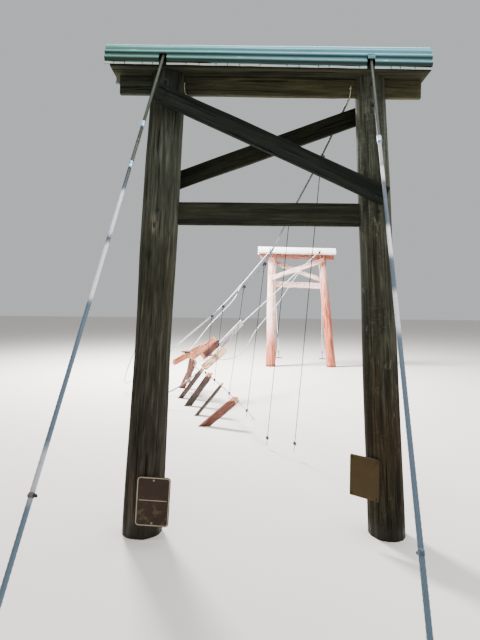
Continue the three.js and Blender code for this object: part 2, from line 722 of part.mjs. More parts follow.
function buildSigns() {
  const plateBottom = SIGN_PLATE.top - SIGN_PLATE.height;
  const plateY = -(postRadius(POST_RADII.left, plateBottom) + SEAT_GAP + SIGN_PLATE.thickness / 2);
  addPiece('sign_plate', board(
    point(postAxisX(-1, plateBottom) + SIGN_PLATE.sideways, plateY, plateBottom),
    point(postAxisX(-1, SIGN_PLATE.top) + SIGN_PLATE.sideways, plateY, SIGN_PLATE.top),
    SIGN_PLATE.width,
    SIGN_PLATE.thickness,
    point(0, -1, 0),
  ), SIGN_BROWN);

  const bearing = THREE.MathUtils.degToRad(NOTICE_BOARD.bearing);
  const outward = point(-Math.sin(bearing), -Math.cos(bearing), 0);
  const along = point(Math.cos(bearing), -Math.sin(bearing), 0);
  const bottom = NOTICE_BOARD.top - NOTICE_BOARD.height;
  const stand = postRadius(POST_RADII.right, NOTICE_BOARD.top) + SEAT_GAP + NOTICE_BOARD.thickness / 2;
  const centre = point(postAxisX(1, NOTICE_BOARD.top), 0, bottom + NOTICE_BOARD.height / 2)
    .addScaledVector(outward, stand)
    .addScaledVector(along, NOTICE_BOARD.sideways);
  const half = along.clone().multiplyScalar(NOTICE_BOARD.width / 2);
  addPiece('notice_board', board(
    centre.clone().sub(half),
    centre.clone().add(half),
    NOTICE_BOARD.height,
    NOTICE_BOARD.thickness,
    outward,
  ), SIGN_BROWN);
}

for (const tower of [NEAR, FAR]) {
  buildTower(tower);
  for (const [sideName, side] of Object.entries(SIDES)) {
    buildStay(tower, sideName, side);
  }
}

addPiece('main_cable_left', strand(MAIN_PATHS.left, MAIN_RADIUS), GALVANISED_STRAND);
addPiece('main_cable_right', strand(MAIN_PATHS.right, MAIN_RADIUS), GALVANISED_STRAND);

RIGHT_HANGERS_TOP.forEach((top, index) => {
  buildHanger(`hanger_right_${index + 1}`, 'right', top, RIGHT_HANGERS_BOTTOM[index], index >= 2);
});
LEFT_HANGERS_TOP.forEach((top, index) => {
  buildHanger(`hanger_left_${index + 1}`, 'left', top, LEFT_HANGERS_BOTTOM[index], index >= 1);
});
buildEdgeCable('left');
buildEdgeCable('right');

DECK_BOARDS.forEach((spec, index) => buildTrailingPlank(`deck_board_${index + 1}`, spec));
buildTornDeck();
buildSigns();

// The origin is under the middle of the whole bridge
bridge.updateMatrixWorld(true);
const bounds = new THREE.Box3().setFromObject(bridge);
bridge.position.set(-(bounds.min.x + bounds.max.x) / 2, -(bounds.min.y + bounds.max.y) / 2, -bounds.min.z);

export default bridge;
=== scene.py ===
"""Looks of a timber suspension footbridge after a flood: poles, hoods, wire rope and torn deck."""

import random
from math import asin, atan2, copysign, cos, hypot, pi, radians, sin, sqrt, tan

import bmesh
import bpy
import numpy as np
from bpy.types import Operator, Panel, PropertyGroup
from mathutils import Matrix, Vector, noise


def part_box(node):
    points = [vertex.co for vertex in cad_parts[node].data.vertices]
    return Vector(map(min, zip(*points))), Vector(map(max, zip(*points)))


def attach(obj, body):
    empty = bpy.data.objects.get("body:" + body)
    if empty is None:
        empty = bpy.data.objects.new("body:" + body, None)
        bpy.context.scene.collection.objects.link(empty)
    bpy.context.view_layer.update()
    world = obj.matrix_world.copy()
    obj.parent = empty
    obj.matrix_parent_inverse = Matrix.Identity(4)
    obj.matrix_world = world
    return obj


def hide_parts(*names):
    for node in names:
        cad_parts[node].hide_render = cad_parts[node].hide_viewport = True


bl_info = {
    "name": "Flooded Suspension Footbridge",
    "version": (1, 0, 0),
    "blender": (4, 5, 0),
    "location": "View3D > Sidebar > Footbridge",
    "description": "Dresses the packed footbridge with poles, boards, sheet hoods and wire rope",
    "category": "Object",
}

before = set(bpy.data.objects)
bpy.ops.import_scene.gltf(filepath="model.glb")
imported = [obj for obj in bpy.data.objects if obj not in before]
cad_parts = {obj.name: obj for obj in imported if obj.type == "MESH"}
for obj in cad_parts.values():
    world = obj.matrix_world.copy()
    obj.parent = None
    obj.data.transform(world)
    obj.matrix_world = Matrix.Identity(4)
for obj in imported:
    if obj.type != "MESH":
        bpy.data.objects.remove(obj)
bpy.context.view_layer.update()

# The middle of the near tower at the water line; every place below is measured from it
HEADER_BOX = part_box("near_header")
HEADER_PAST_MIDDLE = 0.0114
HOME = Vector((
    (HEADER_BOX[0][0] + HEADER_BOX[1][0]) / 2 - HEADER_PAST_MIDDLE,
    (HEADER_BOX[0][1] + HEADER_BOX[1][1]) / 2,
    0,
))
ALONG_X = Vector((1, 0, 0))
ALONG_Y = Vector((0, 1, 0))
UP = Vector((0, 0, 1))

# Towers
HEAD_HEIGHT = 3.766
FOOT_SPREAD = 1.025
HEAD_SPREAD = 0.824
POLE_RADII = {"left": (0.172, 0.150), "right": (0.163, 0.133)}
SIDES = {"left": -1, "right": 1}
BOARD_THICKNESS = 0.046
HEADER_HEIGHT = 0.147
TIE_MIDDLE = 2.654
BRACE_SET_IN = 0.024
HEAD_FLAT_HEIGHT = 0.315
HEAD_FLAT_DEPTH = 0.042
FRONT_BRACE = {"face": -1, "upper": 3.562, "lower": 2.800}
REAR_BRACE = {"face": 1, "upper": 3.548, "lower": 2.926}

# Cables
MAIN_RADIUS = 0.012
WIRE_RADIUS = 0.008
HANGER_RADIUS = 0.005
SADDLE_RADIUS = 0.178
SADDLE_CENTRE = 3.776
STAY_RUN = 2.886
STAY_SPLAY = 0.764
SPLICE_SHARE = 0.23
SLEEVE_SHARES = {"left": (0.192, 0.282), "right": (0.226,)}
STAY_CLIP_SHARE = {"left": 0.722, "right": 0.748}
STAY_CLIP_LUG = {"left": ALONG_X, "right": ALONG_Y}
# Stretches of each near stay painted as highlights: lowest and highest height in metres, and strength
STAY_HIGHLIGHTS = {
    "left": [(2.30, 2.59, 1.0), (1.90, 2.24, 1.0), (1.08, 1.26, 0.45)],
    "right": [(2.80, 2.97, 0.4), (2.67, 2.78, 0.85), (2.15, 2.34, 1.0), (1.77, 1.96, 0.8)],
}
ANCHOR_ROD = 0.300
ANCHOR_SOCKET = 0.110

# Hoods
HOOD_LENGTH = 2.585
HOOD_SHIFT = -0.015
HOOD_EDGE = 3.773
HOOD_SKIRT = 0.050
HOOD_RADIUS = 0.192
HOOD_WAVE = 0.007
HOOD_SHEET = 0.0016
HOOD_DENT = 0.0035
CORRUGATIONS = 11
HOOD_LIP = 0.022
HOOD_ARC = pi * HOOD_RADIUS + 2 * HOOD_SKIRT
HOOD_PITCH = (HOOD_ARC - 2 * HOOD_LIP) / CORRUGATIONS
# How far the near hood's lips and crown have settled from true: at its middle, and more towards the right end
LIP_SETTLING = (0.0060, -0.0055)
CROWN_SETTLING = (0.0010, 0.0065)
NAIL_STEP = 0.115
SLOT_WIDTH = 0.062
SLOT_ABOVE_CABLE = 0.066
FLAP_COLUMNS = 17
FLAP_STAND = 0.007
HEM_END = 0.002
HEM_SHORTEST = 0.012
HEM_THICKNESS = 0.0032
HEM_HEIGHT = 0.0082
NAIL_HEAD = 0.0045

# Painted light and shade in the colours, and where parts are darker: multipliers from red to blue
# Painted light: how much each near pole's shaded timber is brightened
POLE_LIGHT_TINTS = {"left": (1.17, 1.56, 1.58), "right": (1.56, 2.06, 2.10)}
# Darker towards the foot, and painted shade at the head where the header and braces shade it: an axis, its
# start and end, and stops with a multiplier
POLE_DARKENING = {
    "left": ("Z", 0, 4, [
        (0.20, (0.50, 0.40, 0.41)), (0.51, (0.58, 0.54, 0.50)), (0.75, (0.9, 0.9, 0.9)),
        (0.81, (0.75, 0.75, 0.75)), (0.86, (0.40, 0.42, 0.42)),
    ]),
    "right": ("Z", 0, 4, [
        (0.06, (0.27, 0.22, 0.18)), (0.20, (0.36, 0.25, 0.19)), (0.45, (0.51, 0.48, 0.45)),
        (0.60, (0.55, 0.52, 0.48)), (0.80, (1, 1, 1)), (0.92, (0.6, 0.6, 0.6)),
    ]),
}
# Painted light: the near hood darker low down and brighter towards its crown, as lit from above
HOOD_PAINTED_LIGHT = (3.82, 4.02, [
    (0.15, (0.33, 0.38, 0.35)), (0.45, (0.46, 0.53, 0.53)), (0.62, (0.58, 0.62, 0.62)), (0.74, (1, 1, 1)),
])
PLATE_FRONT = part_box("near_top_plate")[0][1]
# The near header darker towards its left end; painted shadow of the hood's hem on the top plate's front edge
# and just under it
BOARD_DARKENING = {
    "header": ("X", HOME.x - 1.25, HOME.x + 1.25, [(0.10, (0.60, 0.68, 0.92)), (0.45, (1, 1, 1))]),
    "top_plate": ("Y", PLATE_FRONT - 0.01, PLATE_FRONT + 0.09, [(0.1, (0.30, 0.32, 0.34)), (0.3, (1, 1, 1))]),
}
POLE_SCAR = HOME + Vector((-0.914, -0.155, 2.54))
# Painted light and shade on the near boards: the header and top plate brightened where the hood shades them,
# the braces darkened
BOARD_LIGHT_TINTS = {
    "header": (1.87, 2.16, 1.56),
    "top_plate": (1.12, 1.38, 1.20),
    "tie_beam": (0.93, 1.15, 1.07),
    "brace_front": (0.47, 0.71, 0.74),
    "brace_rear": (0.50, 0.65, 0.56),
}
# Painted shade: the heights just under the far hood, where its timber is painted darker
FAR_HOOD_SHADE = (3.42, 3.66)

# Deck
PLANK_WIDTH = 0.140
PLANK_THICKNESS = 0.040
PLANK_PAST_CABLE = 0.090
PLANK_UNDER_WATER = 0.160

# How finely poles, boards and ropes are made, and how worn
POLE_SIDES = 84
POLE_RINGS = 150
POLE_UNDERSIZE = 0.975
POLE_SPIRAL = 0.10
CHECKS_PER_POLE = 5
CHECK_HALF_ANGLE = 0.016
CHECK_DEPTH = 0.020
BOARD_STEP = 0.03
STEPS_ACROSS_BOARD = 10
STEPS_THROUGH_BOARD = 3
END_WEAR_LENGTH = 0.004
BREAK_LENGTH = 0.045
BREAK_TAPER = 0.12
ROPE_STRANDS = 6
SADDLE_STEPS = 10
TOUCHING = 1e-5

# Fittings: nuts by half their width across corners. A profile is pairs of how far down the rope a ring
# lies, and the ring's radius
WASHER_THICKNESS = 0.003
BOLT_TAIL = 0.012
BRACE_NUT = 0.009
BRACE_BOLT_SHIFT = 0.034
ANCHOR_PLATE = (0.238, 0.238, 0.0155)
ANCHOR_BOLT_SHIFT = 0.085
CABLE_CLIP_SHIFT = 0.013
HANGER_CLIPS = (0.075, 0.120)
EYE_LOW = 0.034
EYE_SIZE = (0.013, 0.018)
LOWER_CLIP_PLATE = (0.032, 0.005, 0.042)
LOWER_CLIP_REACH = 0.012
HEADER_NUT = 0.010
LOW_HEAD_NUT = 0.011
ANCHOR_NUT = 0.014
CLIP_NUT = 0.0062
SIGN_NUT = 0.0065
NOTICE_NUT = 0.0055
CORNER_STEPS = 6
FRAYED_WIRES = 9
SPLICE_PROFILE = [(-0.012, 0.0121), (-0.010, 0.0128), (0.010, 0.0128), (0.012, 0.0121)]
SLEEVE_PROFILE = [
    (-0.030, 0.0135), (-0.027, 0.0160), (-0.014, 0.0160), (-0.011, 0.0145),
    (0.011, 0.0145), (0.014, 0.0160), (0.027, 0.0160), (0.030, 0.0135),
]
BAND_PROFILE = [
    (-0.0110, 0.0115), (-0.0105, 0.0128), (-0.0085, 0.0132),
    (0.0085, 0.0132), (0.0105, 0.0128), (0.0110, 0.0115),
]
COLLAR_PROFILE = [(-0.030, 0.034), (-0.045, 0.022), (-0.060, 0.014)]
SOCKET_PROFILE = [
    (0.010, 0.015), (0.004, 0.022), (-0.012, 0.0235), (-0.080, 0.0215), (-0.102, 0.018), (-0.109, 0.013),
]

# Plates; the eased edge goes round the front of each
EASED_EDGE = 0.0006
SIGN_CORNER = 0.030
SIGN_RIM_INSET = 0.005
SIGN_RIM_WIDTH = 0.0075
SIGN_DIVIDER_HEIGHT = 0.010
SIGN_DIVIDER_WIDTH = 0.0055
SIGN_BOLT_INSET = 0.028
NOTICE_CORNER = 0.012
NOTICE_BACKING_CORNER = 0.004
NOTICE_SHEET = 0.006
NOTICE_BOLT_INSET = 0.020

# Which of a piece's materials its lesser parts take
PLANK_NAIL, PLANK_BREAK = 1, 2
HOOD_HEM = 1
STAY_BAND, STAY_BOLT, STAY_SLEEVE = 1, 2, 3
HANGER_FITTING = 1
SIGN_RIM, SIGN_BOLT, SIGN_BACKING = 1, 2, 3

# The photograph: its focal length and size, and where its camera stood
PHOTO_FOCAL_PIXELS = 481.0
PHOTO_LONG_SIDE_PIXELS = 640.0
SENSOR_LONG_SIDE = 36.0
CAMERA_PLACE = Vector((-0.195, -4.0, 1.851))
CAMERA_YAW = radians(0.34)
CAMERA_PITCH = radians(-1.04)
CAMERA_ROLL = radians(0.54)

# The studio's lamps: name, place, what it points at, size, and its share of the key light's power
STUDIO_LAMPS = [
    ("near_sky", (0.8, -6.0, 9.0), (0.2, -6.1, 3.8), 7.0, 0.40),
    ("fill", (9.0, -4.0, 6.0), (0.0, 0.0, 2.0), 8.0, 0.12),
    ("far_sun", (-4.5, 3.6, 9.5), (1.7, 6.4, 2.0), 3.0, 3.3),
]


class Tower:
    """One tower's place, and how it differs from the other. Its tilts are given in degrees.

    land is -1 with the land before the tower and 1 with the land behind it. front_brace_top is the side that
    the front brace rises to. anchor_shift is how far each stay's anchor is moved along X.
    """

    def __init__(self, name, centre, land, front_brace_top, anchor_shift, drift=0.0, head_tilt=0.0,
                 tie_tilt=0.0, tie_rise=0.0, front_brace_rise=0.0):
        self.name = name
        self.centre = centre
        self.land = land
        self.front_brace_top = front_brace_top
        self.anchor_shift = anchor_shift
        self.drift = drift
        self.head_tilt = radians(head_tilt)
        self.tie_tilt = radians(tie_tilt)
        self.tie_rise = tie_rise
        self.front_brace_rise = front_brace_rise

    def head_x(self):
        """Where the middle of its head is; drift racks the whole tower sideways."""
        return self.centre.x + self.drift

    def pole_axis(self, side, height):
        """The middle of a pole at a height."""
        share = height / HEAD_HEIGHT
        spread = FOOT_SPREAD + (HEAD_SPREAD - FOOT_SPREAD) * share
        return self.centre + Vector((side * spread + self.drift * share, 0, height))

    def saddle(self, side):
        """The middle of the bend that a cable makes over the tower."""
        across = side * HEAD_SPREAD
        height = SADDLE_CENTRE - across * sin(self.head_tilt)
        return Vector((self.head_x() + across, self.centre.y, height))

    def tilted(self, place):
        """Turned with the tower's head, clockwise seen from the near bank."""
        across, rise = place.x - self.head_x(), place.z - HEAD_HEIGHT
        cosine, sine = cos(self.head_tilt), sin(self.head_tilt)
        return Vector((
            self.head_x() + across * cosine + rise * sine,
            place.y,
            HEAD_HEIGHT - across * sine + rise * cosine,
        ))

    def head_level(self, x):
        """Where the poles end under the tilted top plate."""
        return HEAD_HEIGHT - (x - self.head_x()) * tan(self.head_tilt)


NEAR = Tower("near", Vector((0, 0, 0)), -1, -1, {-1: 0.020, 1: 0.011}, head_tilt=0.5)
FAR = Tower("far", Vector((1.778, 12.218, 0)), 1, 1, {-1: -0.175, 1: 0.0}, drift=-0.177, head_tilt=0.9,
            tie_tilt=1.8, tie_rise=0.098, front_brace_rise=0.180)
TOWERS = (NEAR, FAR)
CROSSING = Vector((FAR.centre.x, FAR.centre.y, 0)).normalized()
CROSSING_SIDE = Vector((CROSSING.y, -CROSSING.x, 0))

# Routes in metres; those of the cables, hangers and planks are the solids' own
HANGERS_TOP = {
    "right": [(0.6, 1.0, 3.46), (0.364, 1.9, 3.02), (0.113, 3.0, 2.553), (-0.18, 4.0, 2.27),
              (-0.563, 4.9, 1.948), (-0.81, 5.6, 1.766)],
    "left": [(-1.09, 1.0, 3.46), (-1.33, 1.9, 3.03), (-1.56, 3.0, 2.58), (-1.76, 4.0, 2.29),
             (-2.01, 4.9, 1.99)],
}
HANGERS_BOTTOM = {
    "right": [(0.47, 2.0, 0.2), (0.15, 2.45, 0.15), (-0.12, 3.1, 0.38), (-0.41, 4.0, 0.48),
              (-0.71, 4.9, 0.573), (-0.93, 5.6, 0.614)],
    "left": [(-1.23, 1.25, 0.24), (-1.45, 1.95, 0.3), (-1.74, 3.0, 0.4), (-1.94, 4.0, 0.5),
             (-2.15, 4.9, 0.57)],
}
LOW_LOOP = {
    "right": [(-1.75, 6.6, 1.0), (-2.25, 6.7, 0.45), (-2.5, 6.2, 0.2), (-2.25, 5.5, 0.15),
              (-1.7, 5.1, 0.26), (-1.3, 4.98, 0.48)],
    "left": [(-2.18, 5.6, 1.8), (-2.45, 6.3, 1.15), (-2.75, 6.6, 0.5), (-2.85, 6.95, 0.19),
             (-2.45, 7.23, 0.43)],
}
FAR_HALF = {
    "right": [(-0.93, 5.4, 0.795), (-0.445, 6.6, 1.352), (0.38, 8.4, 2.1), (1.51, 10.5, 3.116)],
    "left": [(-2.0, 7.3, 0.8), (-1.5, 7.5, 1.25), (-0.94, 8.0, 1.76), (-0.29, 9.6, 2.55)],
}
EDGE_ROUTE = {
    "right": [(1.045, 9.5, 2.48), (0.707, 8.7, 2.04), (0.137, 7.3, 1.437), (-0.28, 5.8, 0.943),
              (-0.77, 6.6, 0.77), (-1.15, 7.25, 0.68), (-1.33, 7.3, 0.64), (-1.29, 6.95, 0.6),
              (-1.06, 6.05, 0.595), *reversed(HANGERS_BOTTOM["right"][2:]), (-0.04, 2.85, 0.33)],
    "left": [(-0.42, 9.23, 2.22), (-1.031, 7.9, 1.486), (-1.476, 7.0, 0.889), (-1.9, 6.35, 0.64),
             (-2.2, 5.6, 0.6), *reversed(HANGERS_BOTTOM["left"][1:]), (-1.38, 1.7, 0.27)],
}
EDGE_DROP = 0.030
HOOKED_WIRES = {
    "left": [
        (-0.695, -0.028, 3.735), (-0.694, -0.030, 3.712), (-0.690, -0.033, 3.668), (-0.686, -0.035, 3.635),
        (-0.670, -0.033, 3.613), (-0.645, -0.029, 3.603), (-0.622, -0.027, 3.600),
    ],
    "right": [
        (0.670, -0.028, 3.700), (0.668, -0.030, 3.679), (0.665, -0.033, 3.640), (0.660, -0.035, 3.612),
        (0.645, -0.033, 3.575), (0.623, -0.029, 3.542),
    ],
}
TRAILING_PLANKS = [
    ((-1.64, 7.48, 0), (-1.33, 7.3, 0.64), 20, "brown"),
    ((-1.5, 6.15, 0), (-1.06, 6.05, 0.595), 60, "black"),
    ((-1.25, 5.33, 0), (-0.83, 5.28, 0.596), 35, "black"),
    ((-1.0, 4.5, 0), (-0.57, 4.48, 0.53), 75, "black"),
    ((-0.8, 3.68, 0), (-0.3, 3.62, 0.442), 25, "brown"),
]
TORN_PLANKS = [
    ((-0.74, 5.69, 0.955), (-1.56, 7.09, 0.915), 90, "black"),
    ((-0.8, 6.85, 1.225), (-1.3, 5.87, 0.848), 8, "orange"),
    ((-0.69, 6.55, 1.19), (-1.01, 5.5, 0.915), -6, "brown"),
    ((-0.56, 6.38, 1.03), (-0.94, 5.13, 0.765), 14, "pale"),
    ((-1.15, 7.33, 1.01), (-1.74, 6.48, 0.69), -20, "orange"),
    ((-1.23, 6.1, 0.985), (-1.45, 6.95, 0.19), 30, "brown"),
]
LOOSE_PLANK = ((-0.68, 6.02, 1.112), (-0.22, 7.1, 1.592), 28, "bleached")
DECK_TONES = {
    "black": ((30, 24, 25), (56, 44, 42), (104, 78, 66), (190, 160, 140)),
    "brown": ((52, 30, 27), (98, 56, 46), (150, 92, 72), (222, 180, 156)),
    "orange": ((140, 76, 52), (208, 124, 92), (238, 166, 130), (255, 226, 200)),
    "pale": ((168, 116, 84), (228, 182, 140), (250, 220, 184), (255, 244, 226)),
    "bleached": ((150, 136, 146), (206, 196, 206), (238, 230, 238), (255, 252, 255)),
    "fresh": ((158, 84, 56), (232, 162, 118), (250, 206, 168), (255, 238, 216)),
}


# Shader writing

class Wire:
    """An output in a material's node tree that can be used in plain arithmetic."""

    def __init__(self, finish, socket):
        self.finish = finish
        self.socket = socket

    def maths(self, operation, *values):
        return self.finish.node("ShaderNodeMath", {"operation": operation}, dict(enumerate(values)))

    def __add__(self, other):
        return self.maths("ADD", self, other)

    def __radd__(self, other):
        return self.maths("ADD", other, self)

    def __sub__(self, other):
        return self.maths("SUBTRACT", self, other)

    def __rsub__(self, other):
        return self.maths("SUBTRACT", other, self)

    def __mul__(self, other):
        return self.maths("MULTIPLY", self, other)

    def __rmul__(self, other):
        return self.maths("MULTIPLY", other, self)

    def __truediv__(self, other):
        return self.maths("DIVIDE", self, other)

    def __rtruediv__(self, other):
        return self.maths("DIVIDE", other, self)

    def within(self, low, high):
        """0 at low and below, 1 at high and above, smooth between."""
        return self.finish.node(
            "ShaderNodeMapRange",
            {"interpolation_type": "SMOOTHSTEP"},
            {"Value": self, "From Min": low, "From Max": high},
        )


class Finish:
    """A material that is written as expressions."""

    def __init__(self, name, roughness=0.7, metallic=0.0, specular=0.5, carried=False):
        self.carried = carried
        self.material = bpy.data.materials.new(name)
        self.material.use_nodes = True
        self.tree = self.material.node_tree
        self.shader = self.tree.nodes["Principled BSDF"]
        self.shader.inputs["Roughness"].default_value = roughness
        self.shader.inputs["Metallic"].default_value = metallic
        self.shader.inputs["Specular IOR Level"].default_value = specular

    def node(self, kind, settings=None, inputs=None, output=None):
        made = self.tree.nodes.new(kind)
        for key, value in (settings or {}).items():
            if key == "stops":
                self.set_stops(made.color_ramp, value)
            else:
                setattr(made, key, value)
        for key, value in (inputs or {}).items():
            socket = self.find(made.inputs, key)
            if isinstance(value, Wire):
                self.tree.links.new(value.socket, socket)
            else:
                socket.default_value = value
        return Wire(self, self.find(made.outputs, output))

    @staticmethod
    def find(sockets, key):
        """The socket with a number or a name, or the first one in use."""
        if isinstance(key, int):
            return sockets[key]
        return next(socket for socket in sockets if socket.enabled and key in (None, socket.name))

    @staticmethod
    def set_stops(ramp, stops):
        while len(ramp.elements) < len(stops):
            ramp.elements.new(0.5)
        for element, (position, color) in zip(ramp.elements, stops):
            element.position = position
            element.color = (*color, 1)

    def place(self):
        """The place in the piece's own frame, where X runs with the grain."""
        if self.carried:
            return self.node("ShaderNodeTexCoord", output="Object")
        return self.node("ShaderNodeAttribute", {"attribute_name": "grain"}, output="Vector")

    def world(self, axis, what="Position"):
        vector = self.node("ShaderNodeNewGeometry", output=what)
        return self.node("ShaderNodeSeparateXYZ", inputs={0: vector}, output=axis)

    def scaled(self, place, scale):
        return self.node("ShaderNodeMapping", inputs={"Vector": place, "Scale": scale})

    def clouds(self, place, scale, detail=4, roughness=0.55, distortion=0, stretch=None):
        """Soft noise; stretch is how much finer it is along each axis."""
        return self.node(
            "ShaderNodeTexNoise",
            inputs={
                "Vector": self.scaled(place, stretch) if stretch else place,
                "Scale": scale,
                "Detail": detail,
                "Roughness": roughness,
                "Distortion": distortion,
            },
            output="Fac",
        )

    def cells(self, place, scale, feature="F1", output="Distance"):
        sockets = {"Vector": place, "Scale": scale}
        return self.node("ShaderNodeTexVoronoi", {"feature": feature}, sockets, output)

    def mix(self, share, first, second, blend="MIX"):
        return self.node(
            "ShaderNodeMix",
            {"data_type": "RGBA", "blend_type": blend},
            {"Factor": share, "A": solid(first), "B": solid(second)},
            "Result",
        )

    def ramp(self, value, stops):
        return self.node("ShaderNodeValToRGB", {"stops": stops}, {"Fac": value}, "Color")

    def times_ramp(self, color, axis, low, high, stops):
        """The colour times a ramp that runs from low to high along an axis of the world."""
        share = (self.world(axis) - low) * (1 / (high - low))
        return self.mix(1.0, color, self.ramp(share, stops), "MULTIPLY")

    def feed(self, socket, value):
        self.tree.links.new(value.socket, self.shader.inputs[socket])

    def finished(self, color, roughness, height, strength, depth):
        """Feeds the shader its colour, roughness and bumps, depth in metres, and gives the material."""
        bumps = {"Height": height, "Strength": strength, "Distance": depth}
        self.feed("Base Color", color)
        self.feed("Roughness", roughness)
        self.feed("Normal", self.node("ShaderNodeBump", inputs=bumps))
        return self.material


def solid(value):
    """A colour with its fourth number, or the wire itself."""
    return value if isinstance(value, Wire) else (*value, 1)


def linear(red, green, blue):
    """A colour as seen on a screen, 0 to 255, as the light that it stands for."""
    def one(level):
        share = level / 255
        return share / 12.92 if share <= 0.04045 else ((share + 0.055) / 1.055) ** 2.4
    return (one(red), one(green), one(blue))


DRIED_MUD = linear(112, 96, 72)


def toned(color, factor):
    """The colour lighter or darker, and no lighter than white."""
    return tuple(min(1.0, level * factor) for level in color)


def tinted(color, tint):
    """The colour with each of red, green and blue times its share of the tint."""
    return tuple(level * share for level, share in zip(color, tint))


def grain_masks(finish, place, fibre_pitch=60, coarseness=0.66, waviness=0.3, check_pitch=16, check_scale=2.4,
                check_band=(0.58, 0.66)):
    """Masks that run with the grain along X: growth rings, fibres and drying checks."""
    grain = finish.clouds(place, 3.2, 8, coarseness, waviness, stretch=(0.9, 14, 14))
    fibres = finish.clouds(place, 3.0, 5, 0.7, stretch=(2.0, fibre_pitch, fibre_pitch))
    checks = finish.clouds(place, check_scale, 3, 0.45, stretch=(0.55, check_pitch, check_pitch))
    return grain, fibres, checks.within(*check_band)


def weathered_timber(name, settings, wet_line, tint=(1, 1, 1), darkening=None, scar=None, crazed=0.0,
                     streaked=0.8, carried=False):
    """Grey-green timber with grain along X, drying checks, knots and a wet foot.

    tint multiplies its colours, as painted light and shade from part to part. The darkening ramp is an axis,
    where it starts and ends, and stops with a multiplier each; under the header, braces and hem it is painted
    shade. crazed is the strength of the fine cracks across the grain, streaked that of the dark streaks.
    """
    finish = Finish(name, specular=0.10, carried=carried)
    place = finish.place()
    grain, fibres, checks = grain_masks(finish, place, 60, 0.68, 0.35, 24, 3.0, (0.61, 0.67))
    patches = finish.clouds(place, 1.6, detail=3)
    streaks = finish.clouds(place, 2.0, stretch=(0.45, 7, 7))
    crazing = 1 - finish.cells(finish.scaled(place, (30, 11, 11)), 1.0, "DISTANCE_TO_EDGE").within(0.02, 0.20)
    crazing = crazing * finish.clouds(place, 3.0, detail=3).within(0.45, 0.62) * crazed
    knots = knot_mask(finish, place)
    shades = (settings.shade, settings.body, settings.bleach, settings.stain)
    dark, middle, light, stain = (tinted(shade, tint) for shade in shades)
    color = finish.ramp(grain, [(0.28, dark), (0.50, middle), (0.74, light)])
    color = finish.mix(fibres.within(0.40, 0.70) * 0.35, color, light)
    color = finish.mix(streaks.within(0.48, 0.64) * streaked, color, toned(dark, 1.15))
    color = finish.mix((1 - streaks).within(0.56, 0.70) * 0.55, color, stain)
    color = finish.mix(patches.within(0.50, 0.75) * 0.5, color, toned(dark, 1.2))
    # Dark drying checks and fine cracks: painted shade in their depth
    color = finish.mix(checks * 0.85, color, toned(dark, 0.30))
    color = finish.mix(crazing * 0.55, color, toned(dark, 0.5))
    if crazed:
        dry = finish.clouds(place, 5, 6, 0.7, stretch=(1, 2.4, 2.4)).within(0.58, 0.70)
        color = finish.mix(dry * fibres.within(0.35, 0.60) * crazed, color, toned(light, 1.6))
    color = finish.mix(knots * 0.7, color, toned(dark, 0.45))
    if scar:
        color, knots = knot_scar(finish, scar, color, knots, fibres, dark, light)
    # Painted shade where the darkening ramp darkens under the header, braces and the hood's hem
    if darkening:
        color = finish.times_ramp(color, *darkening)
    edge = finish.world("Z") + finish.clouds(place, 7, detail=3) * 0.16
    wet = 1 - edge.within(wet_line, wet_line + 0.10)
    color = finish.mix(wet * 0.55, color, toned(dark, 0.50))
    relief = grain * 0.8 + fibres * 0.5 - checks * 1.6 - crazing * 0.4 - knots * 0.5
    return finish.finished(color, 0.92 - wet * 0.42 - fibres * 0.10, relief, 0.7, 0.004)


def knot_scar(finish, middle, color, knots, fibres, dark, light):
    """An upright healed knot at a place on a pole: pale torn fibres round a dark middle."""
    position = finish.node("ShaderNodeNewGeometry", output="Position")
    offset = finish.node("ShaderNodeVectorMath", {"operation": "SUBTRACT"}, {0: position, 1: middle})
    upright = finish.scaled(offset, (1, 1, 0.36))
    away = finish.node("ShaderNodeVectorMath", {"operation": "LENGTH"}, {0: upright}, "Value")
    away = away + (finish.clouds(offset, 1.0, stretch=(40, 40, 9)) - 0.5) * 0.045
    core = 1 - away.within(0.004, 0.016)
    rim = (1 - away.within(0.016, 0.044)) * (1 - core)
    color = finish.mix(rim * fibres.within(0.30, 0.60) * 0.75, color, tinted(light, (1.5, 1.25, 1.25)))
    color = finish.mix(core * 0.7, color, toned(dark, 0.7))
    return color, knots + core


def knot_mask(finish, place):
    """Scattered knots, drawn out along the grain."""
    spread = finish.scaled(place, (1.1, 3.4, 3.4))
    wobble = finish.clouds(place, 9, detail=2) * 0.10
    return 1 - (finish.cells(spread, 1.25) + wobble).within(0.07, 0.20)


